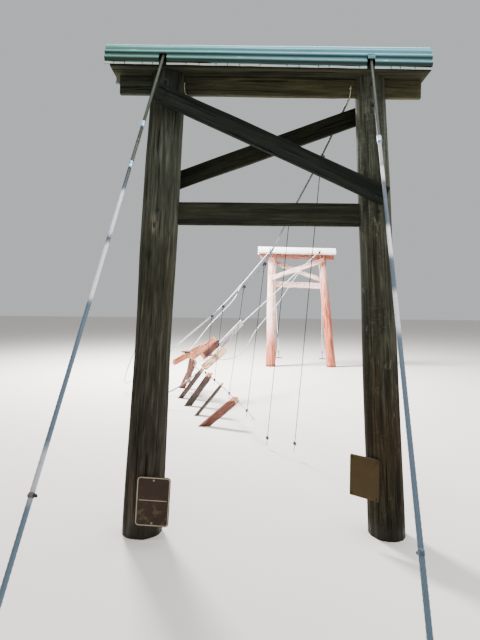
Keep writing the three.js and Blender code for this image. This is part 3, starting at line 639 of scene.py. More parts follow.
def splashed_timber(name, settings, washed_to):
    """Sunlit timber, a lit copy whose pale colours are painted sunlight: pale above, orange-red below, where
    the flood ran over it.
    """
    finish = Finish(name, specular=0.25)
    place = finish.place()
    grain, fibres, checks = grain_masks(finish, place)
    patches = finish.clouds(place, 1.3, roughness=0.6)
    knots = knot_mask(finish, place)
    dark, middle, light, stain = settings.shade, settings.body, settings.bleach, settings.stain
    height = finish.world("Z")
    washed_and_highlight = finish.ramp(grain, [(0.38, dark), (0.52, middle), (0.76, stain)])
    bleached = finish.ramp(grain, [(0.28, middle), (0.42, stain), (0.54, light)])
    color = finish.mix((height + patches * 0.9).within(*washed_to), washed_and_highlight, bleached)
    color = finish.mix(fibres.within(0.40, 0.80) * 0.35, color, light)
    color = finish.mix(patches.within(0.52, 0.68) * 0.5, color, middle)
    # Painted shade of the hood on the timber just under it
    color = finish.mix((height + patches * 0.2).within(*FAR_HOOD_SHADE) * 0.8, color, toned(dark, 1.5))
    # Dark drying checks: painted shade in their depth
    color = finish.mix(checks * 0.85, color, toned(dark, 0.30))
    color = finish.mix(knots * 0.65, color, toned(dark, 0.55))
    wet = 1 - (height + patches * 0.12).within(0.09, 0.17)
    color = finish.mix(wet * 0.7, color, toned(dark, 0.6))
    relief = grain * 0.8 + fibres * 0.5 - checks * 1.6 - knots * 0.5
    return finish.finished(color, 0.86 - wet * 0.35 - fibres * 0.08, relief, 0.7, 0.004)


def torn_timber(name, dark, middle, stain, light):
    """Deck timber that the flood has stained and scraped, from its darkest to its palest grain."""
    finish = Finish(name, specular=0.3)
    place = finish.place()
    grain, fibres, checks = grain_masks(finish, place, fibre_pitch=50)
    patches = finish.clouds(place, 5.0, roughness=0.6)
    color = finish.ramp(grain, [(0.28, dark), (0.48, middle), (0.66, stain)])
    color = finish.mix(patches.within(0.52, 0.64) * 0.55, color, toned(dark, 0.8))
    color = finish.mix(fibres.within(0.56, 0.80) * 0.5, color, light)
    # Dark checks: painted shade in their depth
    color = finish.mix(checks * 0.85, color, toned(dark, 0.3))
    relief = grain * 0.9 + fibres * 0.6 - checks * 1.6
    return finish.finished(color, 0.80 - patches * 0.25, relief, 0.8, 0.005)


def zinc_sheet(name, settings, painted_light_rise=None):
    """Corrugated sheet with painted light and shade by how each face points: painted highlight on the flanks
    that face up and painted shade under each crest, with spangle, bloom and rust spots.

    The last argument makes the whole sheet brighter with height, as painted light: where it starts and ends,
    and stops with a multiplier.
    """
    finish = Finish(name)
    place = finish.place()
    spangle = finish.cells(place, 42, output="Color")
    spangle = finish.node("ShaderNodeSeparateColor", inputs={0: spangle}, output="Red")
    bloom = finish.clouds(place, 3.5, 6, 0.65)
    valley_shade_runs = finish.clouds(place, 2.0, detail=3, stretch=(0.5, 14, 14))
    lines = finish.clouds(place, 2.4, detail=2, stretch=(0.35, 60, 60))
    painted_glints = finish.clouds(place, 2.6, detail=3, stretch=(2.2, 9, 9)).within(0.60, 0.72)
    left_end = 1 - finish.world("X").within(HOME.x - 1.2, HOME.x + 0.3)
    rust_spots = finish.clouds(place, 11, 8, 0.72).within(0.68, 0.76)
    # How far each face points up, with fine lines along it: the ramp below paints light and shade by it,
    # painted highlight on up-facing flanks and painted shade under each crest
    upward = finish.world("Z", "Normal") + (lines - 0.5) * 0.30
    painted_crest_shade, body, washed_and_highlight = settings.painted_crest_shade, settings.metal, settings.bright
    color = finish.ramp(upward * 0.5 + 0.5, [
        (0.19, toned(painted_crest_shade, 1.1)),
        (0.32, toned(painted_crest_shade, 3.0)),
        (0.39, toned(body, 0.90)),
        (0.47, toned(body, 1.50)),
        (0.62, toned(body, 0.88)),
        (0.74, toned(body, 0.95)),
        (0.86, washed_and_highlight),
    ])
    color = finish.mix(left_end, color, settings.bloom, "MULTIPLY")
    # Painted light: the sheet brighter with height
    if painted_light_rise:
        color = finish.times_ramp(color, "Z", *painted_light_rise)
    color = finish.mix((spangle * 0.15 + bloom * 0.2) * upward.within(0.0, 0.6), color, body)
    # Dark runs along the corrugations: painted shade in the valleys
    color = finish.mix(valley_shade_runs.within(0.5, 0.7) * 0.35, color, toned(painted_crest_shade, 1.6))
    # Painted glints: bright flecks on the up-facing flanks
    color = finish.mix(painted_glints * upward.within(0.2, 0.6) * 0.8, color, washed_and_highlight)
    color = finish.mix(rust_spots * 0.4, color, settings.rust)
    finish.feed("Metallic", (1 - rust_spots) * (1 - upward.within(0.5, 0.75)) * 0.30)
    roughness = 0.42 + bloom * 0.22 + spangle * 0.08 + rust_spots * 0.2
    return finish.finished(color, roughness, bloom * 0.5 + lines * 0.5 + spangle * 0.15, 0.25, 0.002)


def galvanised_steel(name, settings, rusting, bleached=0.0, tone=1.0):
    """Dull zinc with dirt and rust, and a share of painted light: painted sunlight over the far half of a
    rope, painted shade at its near end and pale stretches of painted highlight away from that end.
    """
    finish = Finish(name, specular=0.5 - 0.4 * bleached)
    place = finish.place()
    mottle = finish.clouds(place, 26, 6, 0.65)
    broad = finish.clouds(place, 4.0)
    rust = finish.clouds(place, 15, 9, 0.72).within(0.66 - 0.12 * rusting, 0.78 - 0.10 * rusting)
    metal = toned(settings.metal, tone)
    color = finish.mix(mottle.within(0.30, 0.75), metal, toned(metal, 1.7))
    color = finish.mix(broad.within(0.35, 0.7) * 0.45, color, toned(metal, 0.5))
    shine = 0.75 - rust * 0.6
    # Painted light along the rope: sunlight over the far half, shade at the near end, highlight stretches
    # between
    if bleached:
        stretches = finish.clouds(place, 1.1, detail=2).within(0.56, 0.64)
        across = finish.world("Y")
        far_half = across.within(HOME.y + 4.6, HOME.y + 8.0)
        near_end = 1 - across.within(HOME.y + 0.5, HOME.y + 3.5)
        chalk_and_sunlight = (stretches * (1 - near_end) * 0.35 + far_half * 0.9) * bleached
        color = finish.mix(near_end * bleached, color, toned(settings.dull, 0.6))
        color = finish.mix(chalk_and_sunlight, color, settings.bright)
        shine = shine * (1 - chalk_and_sunlight * 0.8) * (1 - near_end * bleached)
    color = finish.mix(rust * 0.8, color, toned(settings.rust, tone))
    finish.feed("Metallic", shine)
    return finish.finished(color, 0.36 + mottle * 0.25 + rust * 0.3, mottle + rust * 0.6, 0.3, 0.001)


def stay_zinc(name, settings, highlight_stretches):
    """Rope, grey-green above its splice and darker from about two metres up, with stretches of painted
    highlight; heights in metres.
    """
    finish = Finish(name, metallic=0.1, specular=0.25)
    place = finish.place()
    mottle = finish.clouds(place, 26, 6, 0.65)
    height = finish.world("Z") + (finish.clouds(place, 5, detail=3) - 0.5) * 0.08
    steel, dull = settings.metal, settings.dull
    color = finish.ramp(height / 4, [
        (0.46, steel),
        (0.49, toned(steel, 0.75)),
        (0.64, toned(steel, 0.70)),
        (0.69, toned(dull, 0.8)),
    ])
    # Painted highlights: pale stretches between these heights
    for low, high, share in highlight_stretches:
        inside = height.within(low - 0.03, low + 0.03) * (1 - height.within(high - 0.03, high + 0.03))
        color = finish.mix(inside * share, color, settings.bright)
    color = finish.mix(mottle.within(0.55, 0.75) * 0.35, color, toned(steel, 0.5))
    return finish.finished(color, 0.40 + mottle * 0.25, mottle, 0.3, 0.001)


def rusted_iron(name, settings, tone=1.0):
    """Ground plates, rods and bolts, rusted all over with paler scale."""
    finish = Finish(name, metallic=0.35)
    place = finish.place()
    scale = finish.clouds(place, 24, 9, 0.7)
    broad = finish.clouds(place, 6)
    rust = toned(settings.rust, tone)
    shades = [(0.30, toned(rust, 0.12)), (0.55, toned(rust, 0.28)), (0.80, toned(rust, 0.6))]
    color = finish.ramp(scale, shades)
    color = finish.mix(0.2 + broad.within(0.4, 0.7) * 0.6, color, toned(settings.metal, 0.25 * tone))
    return finish.finished(color, 0.62 + scale * 0.3, scale, 0.5, 0.0015)


def faded_paint(name, color, wear):
    """Sign paint, chalked, scuffed and splashed with mud along the bottom."""
    finish = Finish(name, specular=0.2)
    place = finish.place()
    chalk_and_sunlight = finish.clouds(place, 7, detail=5)
    scuffs = finish.clouds(place, 38, 6, 0.7, stretch=(1, 4, 1)).within(0.62, 0.70)
    mud = finish.clouds(place, 18, detail=6).within(0.50, 0.66)
    low = 1 - (finish.world("Z") + chalk_and_sunlight * 0.15).within(0.25, 0.50)
    painted = finish.mix(chalk_and_sunlight.within(0.35, 0.75) * 0.45, color, toned(color, 1.7))
    painted = finish.mix(scuffs * wear, painted, toned(color, 2.6))
    painted = finish.mix(mud * low * 0.35, painted, DRIED_MUD)
    return finish.finished(painted, 0.45 + chalk_and_sunlight * 0.3, chalk_and_sunlight * 0.3 + scuffs * 0.4, 0.2, 0.0006)


def pale_floor(name, color):
    finish = Finish(name, roughness=0.9, specular=0.2)
    grain = finish.clouds(finish.place(), 3.0, detail=3)
    finish.feed("Base Color", finish.mix(grain * 0.25, color, toned(color, 0.96)))
    return finish.material


# Mesh writing

class Shape:
    """Points and faces of one piece while it is being made, in the frame of the whole bridge."""

    def __init__(self):
        self.blocks = []
        self.faces = []
        self.finishes = []
        self.count = 0

    def add(self, points, faces, finish=0):
        points = np.asarray(points, dtype=float)
        self.blocks.append(points)
        self.faces.extend(tuple(index + self.count for index in face) for face in faces)
        self.finishes.extend([finish] * len(faces))
        self.count += len(points)

    def loft(self, rings, finish=0, caps=(True, True)):
        """A skin over rings of points; each ring runs anticlockwise seen from the start."""
        rings = np.asarray(rings, dtype=float)
        rows, sides, _ = rings.shape
        near = np.arange(rows - 1)[:, None] * sides + np.arange(sides)[None, :]
        beside = np.arange(rows - 1)[:, None] * sides + (np.arange(sides)[None, :] + 1) % sides
        quads = np.stack([near, beside, beside + sides, near + sides], axis=-1)
        self.add(rings.reshape(-1, 3), quads.reshape(-1, 4).tolist(), finish)
        ends = ((rings[0], range(sides)[::-1]), (rings[-1], range(sides)))
        for (ring, order), wanted in zip(ends, caps):
            if wanted:
                fan = [(order[index], order[(index + 1) % sides], sides) for index in range(sides)]
                self.add(np.vstack([ring, ring.mean(axis=0)]), fan, finish)

    def tube(self, path, radius, sides=12, finish=0):
        """A round bar along a path; radius is a number or one number for each point."""
        path = [Vector(place) for place in path]
        radii = np.broadcast_to(np.asarray(radius, dtype=float), (len(path),))
        angles = np.arange(sides) * 2 * pi / sides
        rings = []
        for (place, across, over), size in zip(carried_frames(path), radii):
            rings.append([place + (across * cos(a) + over * sin(a)) * size for a in angles])
        self.loft(rings, finish)

    def box(self, middle, axes, sizes, finish=0, edge=0.0):
        """A block with its edges cut by edge; axes are three unit vectors, sizes three lengths."""
        x, y, z = (Vector(axis) for axis in axes)
        half = [size / 2 for size in sizes]
        rings = []
        for along, inset in ((-half[2], edge), (-half[2] + edge, 0), (half[2] - edge, 0), (half[2], edge)):
            a, b = half[0] - inset, half[1] - inset
            outline = and_turned([(-a + edge, -b), (a - edge, -b), (a, -b + edge), (a, b - edge)])
            rings.append([Vector(middle) + x * u + y * v + z * along for u, v in outline])
        self.loft(rings, finish)

    def to_object(self, name, materials, own_frame=None, sharp=35.0):
        mesh = bpy.data.meshes.new(name)
        mesh.from_pydata(np.vstack(self.blocks).tolist(), [], self.faces)
        for material in materials:
            mesh.materials.append(material)
        mesh.polygons.foreach_set("material_index", self.finishes)
        tidy_mesh(mesh)
        mark_grain(mesh, own_frame or Matrix.Translation(HOME), sum(map(ord, name)) % 89)
        mesh.shade_smooth()
        mesh.set_sharp_from_angle(angle=radians(sharp))
        return add_to_scene(name, mesh)


def and_turned(outline):
    """Half an outline with the other half, which is the same turned round the middle."""
    # 0 - x and not -x, because copysign tells -0 from 0
    return outline + [(0 - x, 0 - y) for x, y in outline]


def add_to_scene(name, data):
    """A new object of the scene that shows a mesh, lamp or camera."""
    made = bpy.data.objects.new(name, data)
    bpy.context.scene.collection.objects.link(made)
    return made


def tidy_mesh(mesh):
    """Joins points that touch, drops what is left without faces and turns every face outwards."""
    work = bmesh.new()
    work.from_mesh(mesh)
    bmesh.ops.remove_doubles(work, verts=work.verts, dist=TOUCHING)
    bmesh.ops.dissolve_degenerate(work, edges=work.edges, dist=TOUCHING)
    unused = [point for point in work.verts if not point.link_faces]
    bmesh.ops.delete(work, geom=unused, context="VERTS")
    bmesh.ops.recalc_face_normals(work, faces=work.faces)
    work.to_mesh(mesh)
    work.free()


def mark_grain(mesh, own_frame, apart):
    """Keeps each point's place in the piece's own frame; apart sets like pieces' grain apart."""
    places = np.empty(len(mesh.vertices) * 3, dtype=np.float32)
    mesh.vertices.foreach_get("co", places)
    back = np.array(own_frame.inverted())
    own = places.reshape(-1, 3) @ back[:3, :3].T + back[:3, 3] + apart
    layer = mesh.attributes.new("grain", "FLOAT_VECTOR", "POINT")
    layer.data.foreach_set("vector", own.astype(np.float32).ravel())


def carried_frames(path):
    """For each point of a path: the point and two unit vectors square to it, without twist."""
    frames = []
    across = None
    for index, place in enumerate(path):
        ahead = (path[min(index + 1, len(path) - 1)] - path[max(index - 1, 0)]).normalized()
        if across is None:
            across = ahead.orthogonal().normalized()
        across = (across - ahead * across.dot(ahead)).normalized()
        frames.append((place, across, ahead.cross(across)))
    return frames


def wire_rope(shape, path, radius, lay=6.5, per_lay=10):
    """Laid wire rope: strands show as lobes that turn round the path, once in lay times its diameter."""
    places = even_steps(path, lay * 2 * radius / per_lay)
    sides = ROPE_STRANDS * 4
    angles = np.arange(sides) * 2 * pi / sides
    turns = np.arange(len(places)) * 2 * pi / per_lay
    middles, across, over = (np.array(part)[:, None, :] for part in zip(*carried_frames(places)))
    around = (angles[None, :] + turns[:, None])[..., None]
    lobes = radius * (0.84 + 0.16 * np.abs(np.cos(angles * ROPE_STRANDS / 2)))[None, :, None]
    shape.loft(middles + lobes * (across * np.cos(around) + over * np.sin(around)))


def even_steps(path, step):
    """Points at about even steps along a path."""
    points = np.array([tuple(place) for place in path])
    lengths = np.concatenate([[0], np.cumsum(np.linalg.norm(np.diff(points, axis=0), axis=1))])
    count = max(2, int(round(lengths[-1] / step)) + 1)
    wanted = np.linspace(0, lengths[-1], count)
    rows = np.stack([np.interp(wanted, lengths, points[:, axis]) for axis in range(3)], -1)
    return [Vector(row) for row in rows]


def at_home(places):
    """Places measured from the near tower, in the frame of the whole bridge."""
    return [HOME + Vector(place) for place in places]


def dress(piece, slot, *nodes):
    """The piece rides on the bridge and takes the place of the nodes it stands for."""
    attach(piece, "root")
    if nodes:
        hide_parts(*nodes)


# Routes of the cables, as in the solids

def anchor_foot(tower, side):
    """Where a stay meets the ground."""
    shift = Vector((tower.anchor_shift[side], 0, 0))
    return tower.centre + CROSSING * (tower.land * STAY_RUN) + CROSSING_SIDE * (side * STAY_SPLAY) + shift


def leave_saddle(tower, side, target):
    """The bend's middle, the level direction to the target, and the angle at which the cable leaves."""
    centre = tower.saddle(side)
    level = target - centre
    level.z = 0
    drop = centre.z - target.z
    fall = atan2(drop, level.length) + asin(SADDLE_RADIUS / hypot(drop, level.length))
    return centre, level.normalized(), fall


def on_saddle(leave, share):
    """A place on the bend, from its crest at share 0 to where the cable leaves it at share 1."""
    centre, direction, fall = leave
    angle = fall * share
    return centre + direction * (SADDLE_RADIUS * sin(angle)) + UP * (SADDLE_RADIUS * cos(angle))


def stay_line(tower, side):
    """The straight line of a stay, from its saddle at share 0 to the ground at share 1."""
    foot = anchor_foot(tower, side)
    top = on_saddle(leave_saddle(tower, side, foot), 1)
    return lambda share: top.lerp(foot, share)


def stay_end(tower, side):
    """Where a stay meets the ground, and its direction on the way down."""
    foot = HOME + anchor_foot(tower, side)
    return foot, (foot - (HOME + stay_line(tower, side)(0))).normalized()


def over_saddle(tower, side, span_point):
    """The cable's way over the bend, from the stay to the span."""
    land = leave_saddle(tower, side, anchor_foot(tower, side))
    span = leave_saddle(tower, side, span_point)
    down = [on_saddle(land, step / SADDLE_STEPS) for step in range(SADDLE_STEPS, 0, -1)]
    return down + [on_saddle(span, step / SADDLE_STEPS) for step in range(SADDLE_STEPS + 1)]


def smooth_route(points, per_span):
    """A centripetal curve through the points, the same as the solids follow."""
    points = [Vector(place) for place in points]
    before = points[0] * 2 - points[1]
    after = points[-1] * 2 - points[-2]
    padded = [before, *points, after]
    route = []
    for index in range(len(points) - 1):
        p0, p1, p2, p3 = padded[index:index + 4]
        d0, d1, d2 = ((b - a).length ** 0.5 for a, b in ((p0, p1), (p1, p2), (p2, p3)))
        start = ((p1 - p0) / d0 - (p2 - p0) / (d0 + d1) + (p2 - p1) / d1) * d1
        end = ((p2 - p1) / d1 - (p3 - p1) / (d1 + d2) + (p3 - p2) / d2) * d1
        square = p1 * -3 + p2 * 3 - start * 2 - end
        cube = p1 * 2 - p2 * 2 + start + end
        for step in range(per_span):
            t = step / per_span
            route.append(p1 + start * t + square * t * t + cube * t ** 3)
    route.append(points[-1])
    return route


def main_route(side_name):
    """A main cable from its splice on the near stay to its splice on the far stay."""
    side = SIDES[side_name]
    span = [Vector(place) for place in HANGERS_TOP[side_name] + LOW_LOOP[side_name] + FAR_HALF[side_name]]
    near = over_saddle(NEAR, side, span[0])
    far = over_saddle(FAR, side, span[-1])[::-1]
    between = smooth_route([near[-1], *span, far[0]], 16)
    ends = [stay_line(tower, side)(SPLICE_SHARE) for tower in TOWERS]
    return [ends[0], *near, *between[1:-1], *far, ends[1]]


def edge_route(side_name):
    """An edge cable of the deck, from its clip on the main cable to its torn end."""
    start = Vector(FAR_HALF[side_name][3]) - UP * EDGE_DROP
    return smooth_route([start, *EDGE_ROUTE[side_name]], 12)


def nearest_direction(route, place):
    """The direction of a route where it passes nearest to a place."""
    place = Vector(place)
    index = min(range(1, len(route) - 1), key=lambda at: (route[at] - place).length)
    return (route[index + 1] - route[index - 1]).normalized()


# Settings

def color_property(label, description, red, green, blue):
    return bpy.props.FloatVectorProperty(
        name=label, description=description, subtype="COLOR", size=3, min=0, max=1,
        default=linear(red, green, blue),
    )


# The near tower's timber, darkened as painted shade: the shaded copy of the far tower's timber
class ShadedTimberSettings(PropertyGroup):
    """Colours of the near tower's timber."""

    shade: color_property("Shade", "Darkest grain", 38, 32, 27)
    body: color_property("Body", "Most of the timber", 62, 55, 46)
    bleach: color_property("Bleach", "Palest fibres", 110, 101, 88)
    stain: color_property("Stain", "Brown streaks", 84, 64, 46)


# The near boards' timber, darker as painted shade
class DarkBoardSettings(PropertyGroup):
    """Colours of the near tower's sawn boards."""

    shade: color_property("Shade", "Darkest grain", 31, 28, 24)
    body: color_property("Body", "Most of the timber", 49, 44, 37)
    bleach: color_property("Bleach", "Palest fibres", 72, 66, 57)
    stain: color_property("Stain", "Brown streaks", 58, 49, 40)


# The lit copy of the near tower's timber: its pale colours are painted sunlight
class SunlitTimberSettings(PropertyGroup):
    """Colours of the far tower's timber."""

    shade: color_property("Shade", "Darkest grain", 116, 54, 32)
    body: color_property("Body", "Washed timber", 196, 90, 52)
    bleach: color_property("Bleach", "Bleached timber", 250, 232, 228)
    stain: color_property("Stain", "Half-bleached timber", 226, 146, 112)


def deck_tone(tone):
    """The four colours of one kind of plank as a setting: dark, body, streaks and palest."""
    levels = [level for shade in DECK_TONES[tone] for level in linear(*shade)]
    return bpy.props.FloatVectorProperty(
        name=tone.title(), description=f"Dark, body, streaks and palest of the {tone} planks", size=12,
        min=0, max=1, default=levels,
    )


class DeckTimberSettings(PropertyGroup):
    """Colours of the torn deck's planks."""

    black: deck_tone("black")
    brown: deck_tone("brown")
    orange: deck_tone("orange")
    pale: deck_tone("pale")
    bleached: deck_tone("bleached")
    fresh: deck_tone("fresh")


class MetalSettings(PropertyGroup):
    """Colours of the near hood's zinc sheet, and of rusted iron in the shade."""

    # Painted shade under each crest of the near hood
    painted_crest_shade: color_property("Sheltered", "Dull zinc under each crest", 42, 64, 60)
    metal: color_property("Zinc", "Weathered zinc", 130, 198, 216)
    bloom: color_property("Bloom", "Green bloom", 226, 232, 200)
    # Painted highlight on the near hood's up-facing flanks
    bright: color_property("Bright", "Washed zinc", 190, 238, 255)
    rust: color_property("Rust", "Rust", 136, 76, 44)


# The lit copy of the near hood's colours and of rusted iron: painted sunlight
class SunlitMetalSettings(PropertyGroup):
    """Colours of the far hood's zinc sheet, and of rusted iron in the sun."""

    # Painted shade under each crest, in sunlight
    painted_crest_shade: color_property("Sheltered", "Zinc under each crest", 214, 198, 194)
    metal: color_property("Zinc", "Sunlit zinc", 246, 242, 242)
    bloom: color_property("Bloom", "Bloom", 255, 255, 255)
    # Painted highlight on the up-facing flanks
    bright: color_property("Bright", "Washed zinc", 255, 255, 255)
    rust: color_property("Rust", "Rust", 214, 160, 130)


class RopeSettings(PropertyGroup):
    """Colours of wire rope and its fittings."""

    metal: color_property("Zinc", "Weathered zinc", 97, 115, 130)
    # Also the painted shade at the ropes' near end
    dull: color_property("Dull", "Grey-green zinc near the hood", 70, 80, 66)
    # Painted sunlight and highlight on the ropes' far half and pale stretches
    bright: color_property("Bright", "Chalky zinc", 246, 244, 252)
    rust: color_property("Rust", "Rust", 122, 76, 50)


class StageSettings(PropertyGroup):
    """Floor and light."""

    floor: color_property("Floor", "Floor colour", 226, 222, 214)
    backdrop: color_property("Backdrop", "Light from all round", 228, 230, 232)
    key_power: bpy.props.FloatProperty(
        name="Key light", description="Power of the main soft light", default=2600, min=0
    )
    floor_size: bpy.props.FloatProperty(
        name="Floor size", description="Side of the floor", default=240, min=10, subtype="DISTANCE",
        unit="LENGTH",
    )


# Pieces: poles

def rough(place, seed):
    """Slow random unevenness at a place, from about -1 to 1."""
    return noise.noise(Vector(place) + Vector((seed * 7.3, seed * 3.1, seed * 5.7)))


def pole_rings(tower, side, radii, seed):
    """Rings of a debarked pole with slow swellings, flattened faces and open drying checks."""
    dice = random.Random(seed)
    check_angles = [dice.uniform(0, 2 * pi) for _ in range(CHECKS_PER_POLE)]
    offsets = [CHECK_HALF_ANGLE * step for step in (-2, -1, 0, 1, 2)]
    angles = list(np.linspace(0, 2 * pi, POLE_SIDES, endpoint=False))
    angles = sorted(angles + [angle + offset for angle in check_angles for offset in offsets])
    flat_foot = HEAD_HEIGHT - HEAD_FLAT_HEIGHT
    heights = sorted([*np.linspace(0, HEAD_HEIGHT, POLE_RINGS), flat_foot, flat_foot + 0.004])
    flat_face = -radii[1] + HEAD_FLAT_DEPTH if side != tower.front_brace_top else None
    rings = []
    for height in heights:
        share = height / HEAD_HEIGHT
        radius = (radii[0] + (radii[1] - radii[0]) * share) * POLE_UNDERSIZE
        middle = tower.pole_axis(side, height)
        ring = []
        for angle in angles:
            turned = angle + POLE_SPIRAL * share
            out = Vector((cos(turned), sin(turned), 0))
            swelling = rough((out.x * 0.8, out.y * 0.8, height * 0.9), seed) * 0.016
            fluting = rough((out.x * 4, out.y * 4, height * 0.5), seed + 3) * 0.007
            size = radius + min(0.0, swelling + fluting - 0.006)
            for index, check in enumerate(check_angles):
                gap = abs((angle - check + pi) % (2 * pi) - pi) / (CHECK_HALF_ANGLE * 1.5)
                if gap < 1:
                    open_here = rough((index * 3.1, 0, height * 1.3), seed + 9) + 0.25
                    size -= max(0.0, min(1.0, open_here * 3)) * CHECK_DEPTH * (1 - gap)
            place = middle + out * size
            place.z *= tower.head_level(place.x) / HEAD_HEIGHT
            if flat_face is not None and height > flat_foot + 0.002:
                place.y = max(place.y, tower.centre.y + flat_face)
            ring.append(HOME + place)
        rings.append(ring)
    return rings


def make_pole(tower, side_name, materials, seed):
    """A round pole from the water line up to the top plate."""
    side = SIDES[side_name]
    shape = Shape()
    shape.loft(pole_rings(tower, side, POLE_RADII[side_name], seed))
    rigid = grain_frame(HOME + tower.pole_axis(side, 0), HOME + tower.pole_axis(side, HEAD_HEIGHT))
    piece = shape.to_object(f"{tower.name}_pole_{side_name}", materials, rigid, sharp=50)
    slot = "pole_timber" if tower is NEAR else "sunlit_timber"
    dress(piece, slot, f"{tower.name}_post_{side_name}")


def framed(along, across, through, middle):
    """A frame with these three unit vectors as its X, Y and Z."""
    rigid = Matrix((along, across, through)).transposed().to_4x4()
    rigid.translation = middle
    return rigid


def grain_frame(start, end, twist=0.0):
    """A frame in the middle of start and end: X along the grain, Y across the width, Z through."""
    along = (end - start).normalized()
    across = ALONG_Y.cross(along).normalized()
    across = Matrix.Rotation(radians(twist), 3, along) @ across
    return framed(along, across, along.cross(across), (start + end) / 2)


# Pieces: boards

def section(width, thickness):
    """Outline of a sawn board's end, anticlockwise, with eased corners."""
    corner = min(0.006, thickness * 0.2)
    eased = corner * 0.3
    half_w, half_t = width / 2, thickness / 2
    outline = []
    for step in range(STEPS_ACROSS_BOARD):
        outline.append((-half_w + corner + (width - 2 * corner) * step / STEPS_ACROSS_BOARD, -half_t))
    outline += [(half_w - corner, -half_t), (half_w - eased, -half_t + eased)]
    for step in range(STEPS_THROUGH_BOARD):
        outline.append((half_w, -half_t + corner + (thickness - 2 * corner) * step / STEPS_THROUGH_BOARD))
    outline += [(half_w, half_t - corner), (half_w - eased, half_t - eased)]
    return and_turned(outline)


def splinters(seed, width, reach):
    """How far a broken end is short of the board's full length, across its width."""
    dice = random.Random(seed)
    across = np.linspace(-width / 2, width / 2, 11)
    depths = [dice.uniform(0, reach) * (0.35 if index % 2 else 1.0) for index in range(len(across))]
    return lambda y: float(np.interp(y, across, depths))


def add_board(shape, rigid, length, width, thickness, seed, broken=(0.0, 0.0), roughness=1.0):
    """A sawn board in its own frame: slightly uneven, edges worn, ends sawn or broken."""
    outline = section(width, thickness)
    bow = random.Random(seed).uniform(-0.002, 0.002)
    jags = [splinters(seed + 11 + index, width, reach) for index, reach in enumerate(broken)]
    end_ring = END_WEAR_LENGTH / length
    shares = [0.0, *np.linspace(end_ring, 1 - end_ring, max(14, int(length / BOARD_STEP))), 1.0]
    rings = []
    for share in shares:
        ring = []
        shrink = 1 - (0.003 if share in (0.0, 1.0) else 0.0) / (thickness / 2)
        for y, z in outline:
            start = -length / 2 + jags[0](y) + (0.004 if broken[0] and z > 0 else 0)
            end = length / 2 - jags[1](y) - (0.006 if broken[1] and z < 0 else 0)
            x = start + (end - start) * share
            wear = 0.0016 * roughness * (rough((x * 3, y * 12, z * 30), seed) - 0.5)
            edge = max(0.0, rough((x * 2.2, copysign(1, y), copysign(1, z)), seed + 2) - 0.15)
            near_corner = min(width / 2 - abs(y), thickness / 2 - abs(z) + 0.004)
            chip = edge * 0.010 * roughness if near_corner < 0.008 else 0.0
            y_now = y * (1 + wear / (width / 2)) - copysign(chip, y)
            z_now = z * shrink * (1 + wear / (thickness / 2)) - copysign(chip * 0.6, z)
            z_now += bow * cos(pi * (share - 0.5))
            for reach, from_end in zip(broken, (share, 1 - share)):
                if reach:
                    z_now *= 1 - 0.45 * max(0.0, 1 - from_end * length / BREAK_TAPER)
            ring.append(rigid @ Vector((x, y_now, z_now)))
        rings.append(ring)
    fresh = BREAK_LENGTH / length
    first = sum(share < fresh for share in shares) if broken[0] else 0
    last = len(shares) - 1 - (sum(share > 1 - fresh for share in shares) if broken[1] else 0)
    shape.loft(rings[first:last + 1], caps=(not broken[0], not broken[1]))
    if broken[0]:
        shape.loft(rings[:first + 1], PLANK_BREAK, caps=(True, False))
    if broken[1]:
        shape.loft(rings[last:], PLANK_BREAK, caps=(False, True))


def measured(name):
    """A plain box of the solids, wherever it leans: its middle, its axes and its sizes, longest first."""
    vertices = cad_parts[name].data.vertices
    points = np.array(sorted({tuple(round(value, 4) for value in vertex.co) for vertex in vertices}))
    middle = points.mean(axis=0)
    _, _, axes = np.linalg.svd(points - middle)
    spans = [np.ptp((points - middle) @ axis) for axis in axes]
    order = np.argsort(spans)[::-1]
    return Vector(middle), [Vector(axes[index]) for index in order], [spans[index] for index in order]


def node_board(name, seed, materials, slot):
    """Dresses a plain box of the solids as a sawn board."""
    middle, (along, across, _), (length, width, thickness) = measured(name)
    rigid = framed(along, across, along.cross(across), middle)
    shape = Shape()
    add_board(shape, rigid, length, width, thickness, seed)
    dress(shape.to_object(f"{name}_board", materials, rigid, sharp=40), slot, name)


def make_plank(name, start, end, twist, materials, seed, broken, nodes=(), cut_at_water=False):
    """A deck plank from start to end; broken is how deep the splinters of each end reach."""
    start, end = at_home([start, end])
    rigid = grain_frame(start, end, twist)
    length = (end - start).length
    shape = Shape()
    add_board(shape, rigid, length, PLANK_WIDTH, PLANK_THICKNESS, seed, broken, roughness=1.6)
    add_nails(shape, rigid, length, seed)
    piece = shape.to_object(name, materials, rigid, sharp=40)
    if cut_at_water:
        cut_below_water(piece)
    dress(piece, "deck_timber", *nodes)


def cut_below_water(piece):
    """Cuts a piece level just above the water line and closes the cut."""
    work = bmesh.new()
    work.from_mesh(piece.data)
    result = bmesh.ops.bisect_plane(
        work,
        geom=work.verts[:] + work.edges[:] + work.faces[:],
        plane_co=(0, 0, 0.0005),
        plane_no=(0, 0, 1),
        clear_inner=True,
    )
    rim = [item for item in result["geom_cut"] if isinstance(item, bmesh.types.BMEdge)]
    bmesh.ops.holes_fill(work, edges=rim, sides=0)
    bmesh.ops.recalc_face_normals(work, faces=work.faces)
    work.to_mesh(piece.data)
    work.free()


